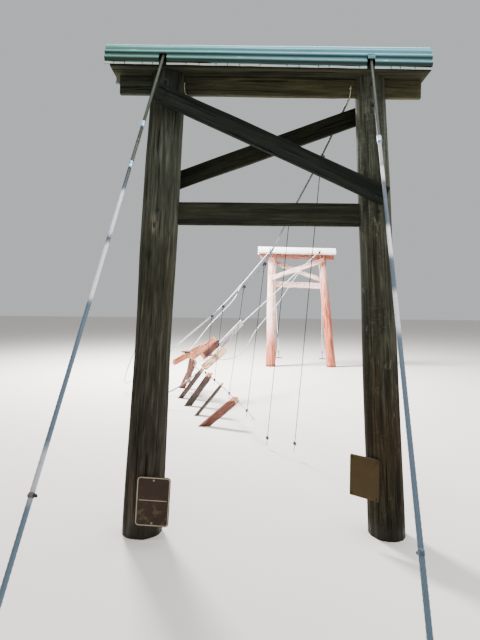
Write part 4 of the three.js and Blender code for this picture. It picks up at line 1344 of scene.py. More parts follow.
def add_nails(shape, rigid, length, seed):
    """Two nail heads near each end of a plank, some standing proud."""
    dice = random.Random(seed + 5)
    for share in (-0.36, 0.36):
        for across in (-0.28, 0.28):
            proud = dice.choice([0.001, 0.001, 0.014])
            x, y = length * share + dice.uniform(-0.02, 0.02), PLANK_WIDTH * across
            head = PLANK_THICKNESS / 2 + proud
            levels = (PLANK_THICKNESS * 0.2, head, head + 0.0025)
            low, high, cap = (rigid @ Vector((x, y, level)) for level in levels)
            shape.tube([low, high], 0.0022, 6, PLANK_NAIL)
            shape.tube([high, cap], 0.006, 10, PLANK_NAIL)


# Pieces: hoods

def hood_point(tower, along_arc, along_x, lift=0.0):
    """A point of the corrugated sheet: along_arc runs from the front lip over to the rear lip."""
    distance = along_arc * HOOD_ARC
    angle = min(max(distance - HOOD_SKIRT, 0), HOOD_ARC - 2 * HOOD_SKIRT) / HOOD_RADIUS
    below = max(HOOD_SKIRT - distance, distance - HOOD_ARC + HOOD_SKIRT, 0)
    middle = HOOD_RADIUS - HOOD_WAVE - 0.0015
    past_lip = max(0.0, min(distance, HOOD_ARC - distance) - HOOD_LIP)
    wave = -HOOD_WAVE * cos(2 * pi * past_lip / HOOD_PITCH)
    dent = rough((along_x * 1.7, along_arc * 3.0, 0), 41 if tower is NEAR else 57) * HOOD_DENT - HOOD_DENT
    radius = middle + wave + dent + lift
    y = -cos(angle) * radius
    z = sin(angle) * radius - below + HOOD_EDGE + HOOD_SKIRT
    if tower is NEAR:
        share = along_x / (HOOD_LENGTH / 2)
        lip, crown = (start + slope * share for start, slope in (LIP_SETTLING, CROWN_SETTLING))
        z += lip + (crown - lip) * sin(angle)
    return HOME + tower.tilted(Vector((tower.head_x() + HOOD_SHIFT + along_x, tower.centre.y + y, z)))


def slot_places(tower, face):
    """Where each cable passes one side of the hood: its X and its height."""
    places = []
    for side_name in SIDES:
        route = main_route(side_name)
        y = tower.centre.y + face * HOOD_RADIUS
        for before, after in zip(route, route[1:]):
            if (before.y - y) * (after.y - y) <= 0:
                share = (y - before.y) / (after.y - before.y)
                places.append(before.lerp(after, share))
                break
    return places


def along_hood(tower, place):
    """How far a place is from the hood's middle, along the hood."""
    return place.x - tower.head_x() - HOOD_SHIFT


def make_hood(tower, materials):
    """A corrugated sheet bent over the head, cut open at the cables, with its flaps and hems."""
    waves = CORRUGATIONS * 12
    half = HOOD_LENGTH / 2
    slots = {face: slot_places(tower, face) for face in (-1, 1)}
    edges = {-half, half, -half + HEM_END, half - HEM_END}
    for place in slots[-1] + slots[1]:
        edges |= set(slot_sides(tower, place))
    steps = sorted(edges | set(np.linspace(-half, half, 66)))
    columns = len(steps)
    grid, inside = (
        [[hood_point(tower, row / waves, x, lift) for x in steps] for row in range(waves + 1)]
        for lift in (0.0, -HOOD_SHEET)
    )

    def is_cut(row, column):
        x = (steps[column] + steps[column + 1]) / 2
        height = grid[row][column].z
        for place in slots[-1 if row < waves / 2 else 1]:
            across = abs(x - along_hood(tower, place))
            if across < SLOT_WIDTH / 2 and height < place.z + SLOT_ABOVE_CABLE - 0.004:
                return True
        return False

    offset = columns * (waves + 1)
    faces = []
    rims = {}
    for row in range(waves):
        for column in range(columns - 1):
            if is_cut(row, column):
                continue
            corner = row * columns + column
            quad = (corner, corner + 1, corner + 1 + columns, corner + columns)
            faces.append(quad)
            faces.append(tuple(index + offset for index in reversed(quad)))
            for a, b in zip(quad, quad[1:] + quad[:1]):
                if (b, a) in rims:
                    del rims[(b, a)]
                else:
                    rims[(a, b)] = True
    faces += [(b, a, a + offset, b + offset) for a, b in rims]
    shape = Shape()
    shape.add([place for line in grid + inside for place in line], faces)
    for face, places in slots.items():
        add_flap(shape, tower, face, places[1])
    add_hem(shape, tower, slots)
    own_frame = Matrix.Translation(HOME + tower.centre + UP * HOOD_EDGE)
    piece = shape.to_object(f"{tower.name}_hood_sheet", materials, own_frame, sharp=50)
    dress(piece, "galvanised_sheet", f"{tower.name}_hood")


def slot_sides(tower, place):
    """Where along the hood the slot of a cable starts and ends."""
    middle = along_hood(tower, place)
    return middle - SLOT_WIDTH / 2, middle + SLOT_WIDTH / 2


def add_flap(shape, tower, face, place):
    """The tongue of sheet cut out for a cable: bent out and left hanging, its end cut ragged."""
    level = place.z + SLOT_ABOVE_CABLE
    rows = [(0.014, 0.0), (0.004, 0.4), (-0.008, 0.8), (-0.020, 1.0), (-0.034, 0.9)]
    rings = []
    for index, across in enumerate(np.linspace(-0.46, 0.46, FLAP_COLUMNS)):
        notch = -0.008 if index % 4 == 2 else 0.0
        front, back = [], []
        for number, (rise, bow) in enumerate(rows):
            height = level + rise + (notch if number == 0 else 0.0)
            lean = FLAP_STAND * (0.4 + 0.6 * bow) + 0.0015 * cos(across * 20)
            y = tower.centre.y + face * (hood_depth(height) + lean)
            front.append(HOME + Vector((place.x + across * SLOT_WIDTH, y, height)))
            back.append(front[-1] - Vector((0, face * HOOD_SHEET, 0)))
        rings.append(front + back[::-1])
    shape.loft(rings)
    hinge = HOME + Vector((place.x, tower.centre.y + face * hood_depth(level), level + 0.004))
    shape.box(hinge, (ALONG_X, ALONG_Y, UP), (SLOT_WIDTH * 0.9, 0.012, 0.004), edge=0.0008)


def hood_depth(height):
    """How far the crests of a hood stand out from the tower's middle at a height."""
    above = max(0.0, height - HOOD_EDGE - HOOD_SKIRT)
    return sqrt(max(0.0, HOOD_RADIUS ** 2 - above ** 2))


def nail_places(tower):
    """Where nails go through the hems, along the hood."""
    dice = random.Random(17 if tower is NEAR else 18)
    even = np.arange(-HOOD_LENGTH / 2 + NAIL_STEP / 2, HOOD_LENGTH / 2 - 0.02, NAIL_STEP)
    return [x + dice.uniform(-0.028, 0.028) for x in even if dice.random() > 0.25]


def add_hem(shape, tower, slots):
    """The folded lower edges: flat hems, pale as a painted reflection, broken at the slots and at each nail.
    """
    half = HOOD_LENGTH / 2
    for face, along_arc in ((-1, 0.0), (1, 1.0)):
        dark = [slot_sides(tower, place) for place in slots[face]]
        dark += [(x - 0.002, x + 0.002) for x in nail_places(tower)]
        start = -half + HEM_END
        for low, high in sorted(dark) + [(half - HEM_END, half)]:
            if low - start > HEM_SHORTEST:
                add_hem_length(shape, tower, along_arc, start, low)
            start = max(start, high)


def add_hem_length(shape, tower, along_arc, start, end):
    """One unbroken length of hem."""
    rings = []
    for x in np.linspace(start, end, max(3, int((end - start) / 0.02))):
        lip = hood_point(tower, along_arc, x, 0.0010) + UP * 0.0100
        sag = rough((x * 9, along_arc, 0), 63) * 0.0020
        ring = []
        for step in range(12):
            angle = 2 * pi * step / 12
            rise = HEM_HEIGHT * sin(angle) + sag
            ring.append(lip + Vector((0, HEM_THICKNESS * cos(angle), rise)))
        rings.append(ring)
    shape.loft(rings, HOOD_HEM)


# Pieces: fasteners

def add_hex_bolt(shape, place, axis, size, finish=0, washer=True, tail=True):
    """A nut on its thread with a round washer under it; axis points out of the timber."""
    axis = axis.normalized()
    base = place
    if washer:
        base = place + axis * WASHER_THICKNESS
        shape.tube([place, base], size * 1.35, 20, finish)
    across = axis.orthogonal().normalized()
    over = axis.cross(across)
    nut_height = size * 0.85
    rings = []
    for height, inset in ((0, 0.94), (0.0012, 1.0), (size * 0.75, 1.0), (nut_height, 0.90)):
        ring = []
        for step in range(12):
            angle = pi * step / 6
            radius = size * (1.0 if step % 2 == 0 else 0.875) * inset
            ring.append(base + axis * height + (across * cos(angle) + over * sin(angle)) * radius)
        rings.append(ring)
    shape.loft(rings, finish)
    if tail:
        top = base + axis * size * 0.85
        shape.tube([base, top + axis * BOLT_TAIL], size * 0.46, 12, finish)


def add_u_bolt_clip(shape, place, along, grip, rope_radius, finish=0):
    """A rope clip: a saddle block under the rope, a U-bolt over it and two nuts on its legs."""
    along = along.normalized()
    grip = (grip - along * grip.dot(along)).normalized()
    across = along.cross(grip)
    wire = rope_radius * 0.38
    reach = rope_radius + wire
    leg = place + grip * rope_radius * 2.7
    block = (reach * 3.0, rope_radius * 2.4, rope_radius * 1.3)
    shape.box(place + grip * rope_radius * 1.15, (across, along, grip), block, finish, rope_radius * 0.18)
    path = [leg + across * reach]
    for step in range(9):
        angle = pi * step / 8
        path.append(place + across * reach * cos(angle) - grip * reach * sin(angle))
    shape.tube([*path, leg - across * reach], wire, 10, finish)
    for side in (-1, 1):
        seat = place + across * reach * side + grip * rope_radius * 1.8
        add_hex_bolt(shape, seat, grip, wire * 2.1, finish, tail=False)


def brace_place(tower, brace, side, upper_end):
    """The middle of a brace's outer face where it crosses a pole."""
    rise = tower.front_brace_rise if brace is FRONT_BRACE else 0.0
    height = brace["upper"] if upper_end else brace["lower"] + rise
    axis = tower.pole_axis(side, height)
    offset = POLE_RADII["left"][1] - BRACE_SET_IN + BOARD_THICKNESS
    return HOME + axis + ALONG_Y * (brace["face"] * offset)


def make_tower_bolts(tower, materials):
    """Through bolts of the header, braces and tie beam, and the hood's nails."""
    shape = Shape()
    for brace in (FRONT_BRACE, REAR_BRACE):
        upper_side = -brace["face"] * tower.front_brace_top
        for side, upper_end in ((upper_side, True), (-upper_side, False)):
            middle = brace_place(tower, brace, side, upper_end)
            for shift in (-BRACE_BOLT_SHIFT, BRACE_BOLT_SHIFT):
                place = middle + UP * shift + ALONG_X * shift * 0.8
                add_hex_bolt(shape, place, ALONG_Y * brace["face"], BRACE_NUT)
    for side_name, side in SIDES.items():
        head = tower.pole_axis(side, HEAD_HEIGHT - HEADER_HEIGHT * 0.55)
        tie_height = TIE_MIDDLE + tower.tie_rise - side * HEAD_SPREAD * sin(tower.tie_tilt)
        tie = tower.pole_axis(side, tie_height)
        radius = POLE_RADII[side_name][1]
        flattened = side != tower.front_brace_top
        for face in (-1, 1):
            out = ALONG_Y * face
            stand = radius - HEAD_FLAT_DEPTH if face == -1 and flattened else radius * 0.955
            add_hex_bolt(shape, HOME + head + out * stand, out, HEADER_NUT)
            add_hex_bolt(shape, HOME + tie + out * (radius * 1.035), out, HEADER_NUT)
        if flattened:
            low = tower.pole_axis(side, HEAD_HEIGHT - HEAD_FLAT_HEIGHT * 0.78)
            add_hex_bolt(shape, HOME + low - ALONG_Y * (radius - HEAD_FLAT_DEPTH), -ALONG_Y, LOW_HEAD_NUT)
    add_hood_nails(shape, tower)
    own_frame = Matrix.Translation(HOME + tower.centre + UP * HEAD_HEIGHT)
    dress(shape.to_object(f"{tower.name}_bolts", materials, own_frame, sharp=30), "anchor_steel")


def add_hood_nails(shape, tower):
    """Small dark nail heads through the hems, and a few over the crest of the hood."""
    dice = random.Random(7 if tower is NEAR else 8)
    crest = (HOOD_LIP + (CORRUGATIONS // 2 - 0.5) * HOOD_PITCH) / HOOD_ARC
    low = 0.013 / HOOD_ARC
    for along_arc in (low, 1 - low, crest):
        for x in np.arange(-1.2, 1.3, 0.4) if along_arc == crest else nail_places(tower):
            outer = hood_point(tower, along_arc, x)
            inner = hood_point(tower, along_arc, x, -0.02)
            out = (outer - inner).normalized()
            tip = out * dice.uniform(0.0045, 0.0065)
            shape.tube([outer - out * 0.003, outer + tip], NAIL_HEAD, 12)
            shape.tube([outer + tip, outer + tip * 1.4], [0.0036, 0.0018], 10)


def make_hooked_wires(materials):
    """Two wires stapled to the near header beside the poles, bent out under it."""
    for side_name, route in HOOKED_WIRES.items():
        shape = Shape()
        shape.tube(smooth_route(at_home(route), 5), 0.0036, 10)
        x, y, z = route[1]
        bends = ((-0.008, 0.008), (-0.007, -0.006), (0.007, -0.006), (0.008, 0.008))
        staple = [(x + across, y + out, z) for across, out in bends]
        shape.tube(smooth_route(at_home(staple), 4), 0.0018, 8)
        dress(shape.to_object(f"hooked_wire_{side_name}", materials, sharp=40), "galvanised_strand")


# Pieces: cables and fittings

def make_main_cable(side_name, materials):
    """A main cable from splice to splice."""
    shape = Shape()
    wire_rope(shape, at_home(main_route(side_name)), MAIN_RADIUS)
    piece = shape.to_object(f"main_rope_{side_name}", materials, sharp=80)
    dress(piece, "galvanised_strand", f"main_cable_{side_name}")


def make_edge_cable(side_name, materials):
    """The deck's edge cable, clipped to the main cable at its start and torn at its end."""
    route = edge_route(side_name)
    shape = Shape()
    wire_rope(shape, at_home(route), WIRE_RADIUS, per_lay=8)
    start = Vector(FAR_HALF[side_name][3])
    along = nearest_direction(main_route(side_name), start)
    for shift in (-0.03, 0.03):
        add_u_bolt_clip(shape, HOME + start + along * shift, along, -UP, MAIN_RADIUS)
    shape.tube([HOME + start - UP * 0.012, HOME + route[0] - UP * 0.004], 0.009, 12)
    last_direction = (route[-1] - route[-4]).normalized()
    add_frayed_end(shape, HOME + route[-1], last_direction, WIRE_RADIUS, 77 + len(side_name))
    piece = shape.to_object(f"edge_rope_{side_name}", materials, sharp=80)
    dress(piece, "galvanised_strand", f"edge_cable_{side_name}")


def add_frayed_end(shape, place, direction, radius, seed):
    """Broken wires that spread and curl at the end of a rope."""
    dice = random.Random(seed)
    across = direction.orthogonal().normalized()
    for index in range(FRAYED_WIRES):
        angle = 2 * pi * index / FRAYED_WIRES + dice.uniform(-0.3, 0.3)
        out = Matrix.Rotation(angle, 3, direction) @ across
        spread = dice.uniform(0.15, 0.9)
        length = dice.uniform(0.03, 0.08)
        path = []
        for step in range(6):
            t = step / 5
            sideways = out * (radius * 0.5 + spread * length * t * t)
            path.append(place + direction * (length * t - 0.008) + sideways - UP * (0.25 * length * t * t))
        shape.tube(path, radius * 0.16, 6)


def make_stay(tower, side_name, materials):
    """A stay from its pressed splice down to its socket, with its bands and band clip."""
    side = SIDES[side_name]
    line = stay_line(tower, side)
    foot, down = stay_end(tower, side)
    socket_top = foot - down * (ANCHOR_ROD + ANCHOR_SOCKET)
    splice = HOME + line(SPLICE_SHARE)
    shape = Shape()
    wire_rope(shape, [splice, socket_top + down * 0.02], MAIN_RADIUS)
    add_profile(shape, splice, down, SPLICE_PROFILE)
    for share in SLEEVE_SHARES[side_name]:
        add_profile(shape, HOME + line(share), down, SLEEVE_PROFILE, 20, STAY_SLEEVE)
    add_band_clip(shape, HOME + line(STAY_CLIP_SHARE[side_name]), down, STAY_CLIP_LUG[side_name])
    piece = shape.to_object(f"{tower.name}_stay_rope_{side_name}", materials, sharp=80)
    dress(piece, "galvanised_strand", f"{tower.name}_stay_{side_name}")


def add_profile(shape, place, down, profile, sides=20, finish=0):
    """A turned fitting on a rope: pairs of how far down it a ring lies, and the ring's radius."""
    shifts, sizes = zip(*profile)
    shape.tube([place + down * shift for shift in shifts], sizes, sides, finish)


def add_band_clip(shape, place, down, lug):
    """A narrow band round the rope, drawn together by one bolt, with its folded end opposite."""
    lug = (lug - down * lug.dot(down)).normalized()
    square = down.cross(lug)
    add_profile(shape, place, down, BAND_PROFILE, 24, STAY_BAND)
    for offset in (-0.0042, 0.0042):
        ear = place + lug * 0.0165 + square * offset
        shape.box(ear, (lug, down, square), (0.011, 0.014, 0.0030), STAY_BOLT, edge=0.0006)
    bolt = place + lug * 0.0172
    shape.tube([bolt - square * 0.011, bolt + square * 0.011], 0.0032, 10, STAY_BOLT)
    for direction in (-1, 1):
        nut = bolt + square * 0.0058 * direction
        add_hex_bolt(shape, nut, square * direction, CLIP_NUT, STAY_BOLT, washer=False, tail=False)
    shape.box(place - lug * 0.0142, (lug, down, square), (0.004, 0.013, 0.008), STAY_BAND, edge=0.0012)


def make_anchor(tower, side_name, materials):
    """Ground plate with its rod, a poured socket and four holding-down bolts."""
    foot, down = stay_end(tower, SIDES[side_name])
    rod_top = foot - down * ANCHOR_ROD
    shape = Shape()
    shape.box(foot + UP * 0.008, (ALONG_X, ALONG_Y, UP), ANCHOR_PLATE, edge=0.003)
    shape.tube([foot - down * 0.018, rod_top + down * 0.006], 0.0125, 16)
    add_profile(shape, foot, down, COLLAR_PROFILE)
    add_profile(shape, rod_top, down, SOCKET_PROFILE, 24)
    for x in (-ANCHOR_BOLT_SHIFT, ANCHOR_BOLT_SHIFT):
        for y in (-ANCHOR_BOLT_SHIFT, ANCHOR_BOLT_SHIFT):
            add_hex_bolt(shape, foot + Vector((x, y, 0.0158)), UP, ANCHOR_NUT)
    piece = shape.to_object(f"{tower.name}_ground_anchor_{side_name}", materials, sharp=35)
    dress(piece, "anchor_steel", f"{tower.name}_anchor_{side_name}")


def make_hanger(side_name, number, materials):
    """A hanger with its eye and clips on the main cable and its clip on the edge cable."""
    top = Vector(HANGERS_TOP[side_name][number])
    bottom = Vector(HANGERS_BOTTOM[side_name][number])
    down = (bottom - top).normalized()
    along = nearest_direction(main_route(side_name), top)
    shape = Shape()
    wire_rope(shape, at_home([top + down * 0.052, bottom + down * 0.01]), HANGER_RADIUS, 8, 6)
    for shift in (-CABLE_CLIP_SHIFT, CABLE_CLIP_SHIFT):
        add_u_bolt_clip(shape, HOME + top + along * shift, along, down, MAIN_RADIUS, HANGER_FITTING)
    add_eye(shape, HOME + top + down * EYE_LOW, down, along.cross(down).normalized())
    for distance in HANGER_CLIPS:
        add_u_bolt_clip(shape, HOME + top + down * distance, down, along, HANGER_RADIUS, HANGER_FITTING)
    add_lower_clip(shape, HOME + bottom, down)
    tail = [bottom + down * 0.01]
    tail += [bottom + Vector(shift) for shift in ((-0.004, 0, -0.045), (-0.010, 0.006, -0.10))]
    wire_rope(shape, smooth_route(at_home(tail), 6), HANGER_RADIUS * 0.8, 8, 6)
    piece = shape.to_object(f"hanger_rope_{side_name}_{number + 1}", materials, sharp=60)
    dress(piece, "galvanised_strand", f"hanger_{side_name}_{number + 1}")


def add_eye(shape, middle, down, across):
    """A closed loop of rope round a thimble."""
    half_width, half_height = EYE_SIZE
    path = []
    for step in range(17):
        angle = 2 * pi * step / 16
        path.append(middle + across * half_width * sin(angle) + down * half_height * cos(angle))
    shape.tube(path, HANGER_RADIUS * 0.9, 10)


def add_lower_clip(shape, place, down):
    """Two pressed plates with bolts through them, gripping the edge cable."""
    across = down.orthogonal().normalized()
    over = down.cross(across)
    for side in (-1, 1):
        middle = place + over * side * 0.0095
        shape.box(middle, (across, over, down), LOWER_CLIP_PLATE, HANGER_FITTING, edge=0.0012)
    for height in (-0.013, 0.013):
        for side in (1, -1):
            nut = place + down * height + over * (LOWER_CLIP_REACH * side)
            add_hex_bolt(shape, nut, over * side, CLIP_NUT, HANGER_FITTING, tail=side == 1)
    reach = over * LOWER_CLIP_REACH
    shape.tube([place - reach, place + reach], 0.0045, 10, HANGER_FITTING)


# Pieces: signs

def rounded_outline(width, height, corner):
    """A rectangle with round corners, anticlockwise."""
    outline = []
    for x_sign, y_sign, start in ((1, 1, 0), (-1, 1, 1), (-1, -1, 2), (1, -1, 3)):
        for step in range(CORNER_STEPS + 1):
            angle = pi / 2 * (start + step / CORNER_STEPS)
            outline.append((
                x_sign * (width / 2 - corner) + corner * cos(angle),
                y_sign * (height / 2 - corner) + corner * sin(angle),
            ))
    return outline


def add_plate(shape, rigid, width, height, back, front, corner, finish):
    """A flat plate with rounded corners, its front edge eased."""
    rings = []
    for depth, inset in ((back, 0.0), (front - EASED_EDGE, 0.0), (front, 0.0007)):
        narrower, lower = 1 - inset / width * 2, 1 - inset / height * 2
        outline = rounded_outline(width, height, corner)
        rings.append([rigid @ Vector((x * narrower, y * lower, depth)) for x, y in outline])
    shape.loft(rings, finish)


def add_border(shape, rigid, width, height, depth, corner, line, finish):
    """A flat painted band just inside the edge of a plate."""
    outer = rounded_outline(width, height, corner)
    inner = rounded_outline(width - 2 * line, height - 2 * line, corner - line)
    top = depth + EASED_EDGE
    count = len(outer)
    points = []
    for outline, level in ((outer, depth), (outer, top), (inner, top), (inner, depth)):
        points += [rigid @ Vector((x, y, level)) for x, y in outline]
    faces = []
    for band in range(4):
        here, there = band * count, ((band + 1) % 4) * count
        for index in range(count):
            after = (index + 1) % count
            faces.append((here + index, here + after, there + after, there + index))
    shape.add(points, faces, finish)


def plate_frame(name, out):
    """A plate's own frame: X across, Y up the plate, Z out of its face, and its three sizes."""
    middle, (up, _, face), (height, width, thickness) = measured(name)
    up = up if up.z > 0 else -up
    face = face if face.dot(out) > 0 else -face
    return framed(up.cross(face), up, face, middle), width, height, thickness


def make_sign_plate(materials):
    """The large plate with its painted rim and divider, on two bolts."""
    rigid, width, height, thickness = plate_frame("sign_plate", -ALONG_Y)
    front = thickness / 2 - 0.001
    across, up, out = rigid.to_3x3().col
    shape = Shape()
    add_plate(shape, rigid, width, height, -thickness / 2, front, SIGN_CORNER, 0)
    rim_width, rim_height = width - 2 * SIGN_RIM_INSET, height - 2 * SIGN_RIM_INSET
    add_border(shape, rigid, rim_width, rim_height, front, 0.9 * SIGN_CORNER, SIGN_RIM_WIDTH, SIGN_RIM)
    divider = rigid @ Vector((0, SIGN_DIVIDER_HEIGHT, front + EASED_EDGE / 2))
    shape.box(divider, (across, up, out), (width - 0.050, SIGN_DIVIDER_WIDTH, 0.0007), SIGN_RIM)
    for y in (height / 2 - SIGN_BOLT_INSET, -height / 2 + SIGN_BOLT_INSET):
        add_hex_bolt(shape, rigid @ Vector((0, y, front)), out, SIGN_NUT, SIGN_BOLT, tail=False)
    dress(shape.to_object("rules_plate", materials, rigid, sharp=35), "sign_brown", "sign_plate")


def make_notice_board(materials):
    """The smaller board: a plate on its backing, with a bolt in each corner."""
    rigid, width, height, thickness = plate_frame("notice_board", Vector((-0.6, -0.8, 0)))
    back, front = -thickness / 2, thickness / 2 - 0.001
    plate_back = front - NOTICE_SHEET
    shape = Shape()
    add_plate(shape, rigid, width, height, back, plate_back, NOTICE_BACKING_CORNER, SIGN_BACKING)
    add_plate(shape, rigid, width - 0.004, height - 0.004, plate_back, front, NOTICE_CORNER, 0)
    to_side, to_top = width / 2 - NOTICE_BOLT_INSET, height / 2 - NOTICE_BOLT_INSET
    for x in (-to_side, to_side):
        for y in (-to_top, to_top):
            place = rigid @ Vector((x, y, front))
            add_hex_bolt(shape, place, rigid.to_3x3().col[2], NOTICE_NUT, SIGN_BOLT, tail=False)
    dress(shape.to_object("notice_plate", materials, rigid, sharp=35), "sign_brown", "notice_board")


# Operators

class FOOTBRIDGE_OT_stage(Operator):
    """Make the floor, the soft lights and the camera at the photograph's place."""

    bl_idname = "footbridge.stage"
    bl_label = "Stage"

    def execute(self, context):
        stage = context.scene.footbridge_stage
        side = stage.floor_size
        shape = Shape()
        shape.box((0, 0, -0.05), (ALONG_X, ALONG_Y, UP), (side, side, 0.1), edge=0.001)
        shape.to_object("studio_floor", [pale_floor("floor_paint", stage.floor)])
        self.light_up(stage)
        self.place_camera()
        return {"FINISHED"}

    @staticmethod
    def light_up(stage):
        world = bpy.data.worlds.new("studio")
        bpy.context.scene.world = world
        world.use_nodes = True
        background = world.node_tree.nodes["Background"]
        background.inputs["Color"].default_value = (*stage.backdrop, 1)
        background.inputs["Strength"].default_value = 0.7
        for name, place, target, size, share in STUDIO_LAMPS:
            data = bpy.data.lights.new(name, "AREA")
            data.energy = stage.key_power * share
            data.size = size
            lamp = add_to_scene(name, data)
            lamp.location = place
            lamp.rotation_mode = "QUATERNION"
            lamp.rotation_quaternion = (Vector(target) - Vector(place)).to_track_quat("-Z", "Y")

    @staticmethod
    def place_camera():
        ahead = Vector((
            -sin(CAMERA_YAW) * cos(CAMERA_PITCH),
            cos(CAMERA_YAW) * cos(CAMERA_PITCH),
            sin(CAMERA_PITCH),
        ))
        level = Vector((cos(CAMERA_YAW), sin(CAMERA_YAW), 0))
        above = level.cross(ahead)
        right = level * cos(CAMERA_ROLL) + above * sin(CAMERA_ROLL)
        top = above * cos(CAMERA_ROLL) - level * sin(CAMERA_ROLL)
        data = bpy.data.cameras.new("photo_camera")
        data.sensor_width = SENSOR_LONG_SIDE
        data.lens = SENSOR_LONG_SIDE * PHOTO_FOCAL_PIXELS / PHOTO_LONG_SIDE_PIXELS
        data.clip_end = 500
        camera = add_to_scene("photo_camera", data)
        camera.matrix_world = framed(right, top, -ahead, HOME + CAMERA_PLACE)
        bpy.context.scene.camera = camera


class FOOTBRIDGE_OT_poles(Operator):
    """Make the four tower poles with their drying checks."""

    bl_idname = "footbridge.poles"
    bl_label = "Poles"

    def execute(self, context):
        shaded, sunlit = context.scene.footbridge_shaded, context.scene.footbridge_sunlit
        timbers = {
            "near_left": weathered_timber(
                "left_pole_timber", shaded, 0.14, POLE_LIGHT_TINTS["left"], POLE_DARKENING["left"], POLE_SCAR,
                streaked=0.28,
            ),
            "near_right": weathered_timber(
                "right_pole_timber", shaded, 0.14, POLE_LIGHT_TINTS["right"], POLE_DARKENING["right"], crazed=0.6
            ),
            "far_left": splashed_timber("bleached_pole_timber", sunlit, (0.9, 2.2)),
            "far_right": splashed_timber("washed_pole_timber", sunlit, (2.2, 4.8)),
        }
        for index, tower in enumerate(TOWERS):
            for offset, side_name in enumerate(SIDES):
                timber = timbers[f"{tower.name}_{side_name}"]
                make_pole(tower, side_name, [timber], 3 + 4 * index + offset)
        return {"FINISHED"}


class FOOTBRIDGE_OT_tower_boards(Operator):
    """Make the headers, top plates, tie beams and braces, and give the cable saddles their timber."""

    bl_idname = "footbridge.tower_boards"
    bl_label = "Tower boards"

    def execute(self, context):
        boards = context.scene.footbridge_boards
        sunlit = splashed_timber("sunlit_board_timber", context.scene.footbridge_sunlit, (0.9, 2.2))
        saddle_timber = weathered_timber("saddle_timber", boards, 0.10, carried=True)
        for offset, (part, tint) in enumerate(BOARD_LIGHT_TINTS.items()):
            shaded = weathered_timber(f"{part}_timber", boards, 0.10, tint, BOARD_DARKENING.get(part))
            for index, tower in enumerate(TOWERS):
                timber, slot = (shaded, "pole_timber") if tower is NEAR else (sunlit, "sunlit_timber")
                node_board(f"{tower.name}_{part}", 20 + 10 * index + offset, [timber], slot)
        for tower in TOWERS:
            for side_name in SIDES:
                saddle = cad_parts[f"{tower.name}_saddle_{side_name}"]
                saddle.data.materials.clear()
                saddle.data.materials.append(saddle_timber)
        return {"FINISHED"}


class FOOTBRIDGE_OT_hoods(Operator):
    """Make the corrugated sheet hoods with their cable slots."""

    bl_idname = "footbridge.hoods"
    bl_label = "Hoods"

    def execute(self, context):
        shaded = zinc_sheet("weathered_zinc_sheet", context.scene.footbridge_metal, HOOD_PAINTED_LIGHT)
        sunlit = zinc_sheet("sunlit_zinc_sheet", context.scene.footbridge_sunlit_metal)
        # The hems' pale colour is a painted reflection along each lip
        hem = faded_paint("bright_hem_zinc", linear(204, 214, 208), 0.6)
        make_hood(NEAR, [shaded, hem])
        make_hood(FAR, [sunlit, hem])
        return {"FINISHED"}


class FOOTBRIDGE_OT_fasteners(Operator):
    """Make bolts, washers, hood nails and the hooked wires."""

    bl_idname = "footbridge.fasteners"
    bl_label = "Fasteners"

    def execute(self, context):
        iron = rusted_iron("rusted_bolts", context.scene.footbridge_metal, tone=0.35)
        cream = faded_paint("hooked_wire_coating", linear(196, 190, 160), 0.3)
        for tower in TOWERS:
            make_tower_bolts(tower, [iron])
        make_hooked_wires([cream])
        return {"FINISHED"}


class FOOTBRIDGE_OT_cables(Operator):
    """Make the main cables, the edge cables, the stays and their ground anchors."""

    bl_idname = "footbridge.cables"
    bl_label = "Cables"

    def execute(self, context):
        metal = context.scene.footbridge_rope
        # The ropes take painted sunlight over their far half and painted shade at their near end
        rope = galvanised_steel("galvanised_rope", metal, rusting=0.2, bleached=1.0)
        bands = {
            # The left band takes the sunlit copy of rust: painted light
            "left": rusted_iron("rusted_band", context.scene.footbridge_sunlit_metal, tone=0.8),
            "right": galvanised_steel("dull_band", metal, rusting=0.6, tone=0.8),
        }
        splice = galvanised_steel("pressed_splice", metal, rusting=0.1, tone=2.4)
        # Near anchors take the shaded colours and far ones the sunlit copy: painted shade and painted
        # sunlight
        irons = {
            NEAR: rusted_iron("anchor_iron", context.scene.footbridge_metal),
            FAR: rusted_iron("sunlit_anchor_iron", context.scene.footbridge_sunlit_metal, tone=0.8),
        }
        bolt = rusted_iron("band_bolts", context.scene.footbridge_metal, tone=0.4)
        for side_name in SIDES:
            make_main_cable(side_name, [rope])
            make_edge_cable(side_name, [rope])
            stay = stay_zinc(f"stay_zinc_{side_name}", metal, STAY_HIGHLIGHTS[side_name])
            for tower in TOWERS:
                make_stay(tower, side_name, [stay if tower is NEAR else rope, bands[side_name], bolt, splice])
                make_anchor(tower, side_name, [irons[tower]])
        return {"FINISHED"}


class FOOTBRIDGE_OT_hangers(Operator):
    """Make the hangers with their eyes and clips."""

    bl_idname = "footbridge.hangers"
    bl_label = "Hangers"

    def execute(self, context):
        # The hangers and their clips darkened as painted shade
        rope = galvanised_steel("hanger_rope_zinc", context.scene.footbridge_rope, rusting=0.5, tone=0.30)
        fitting = galvanised_steel("hanger_clips", context.scene.footbridge_rope, rusting=0.9, tone=0.30)
        for side_name, tops in HANGERS_TOP.items():
            for number in range(len(tops)):
                make_hanger(side_name, number, [rope, fitting])
        return {"FINISHED"}


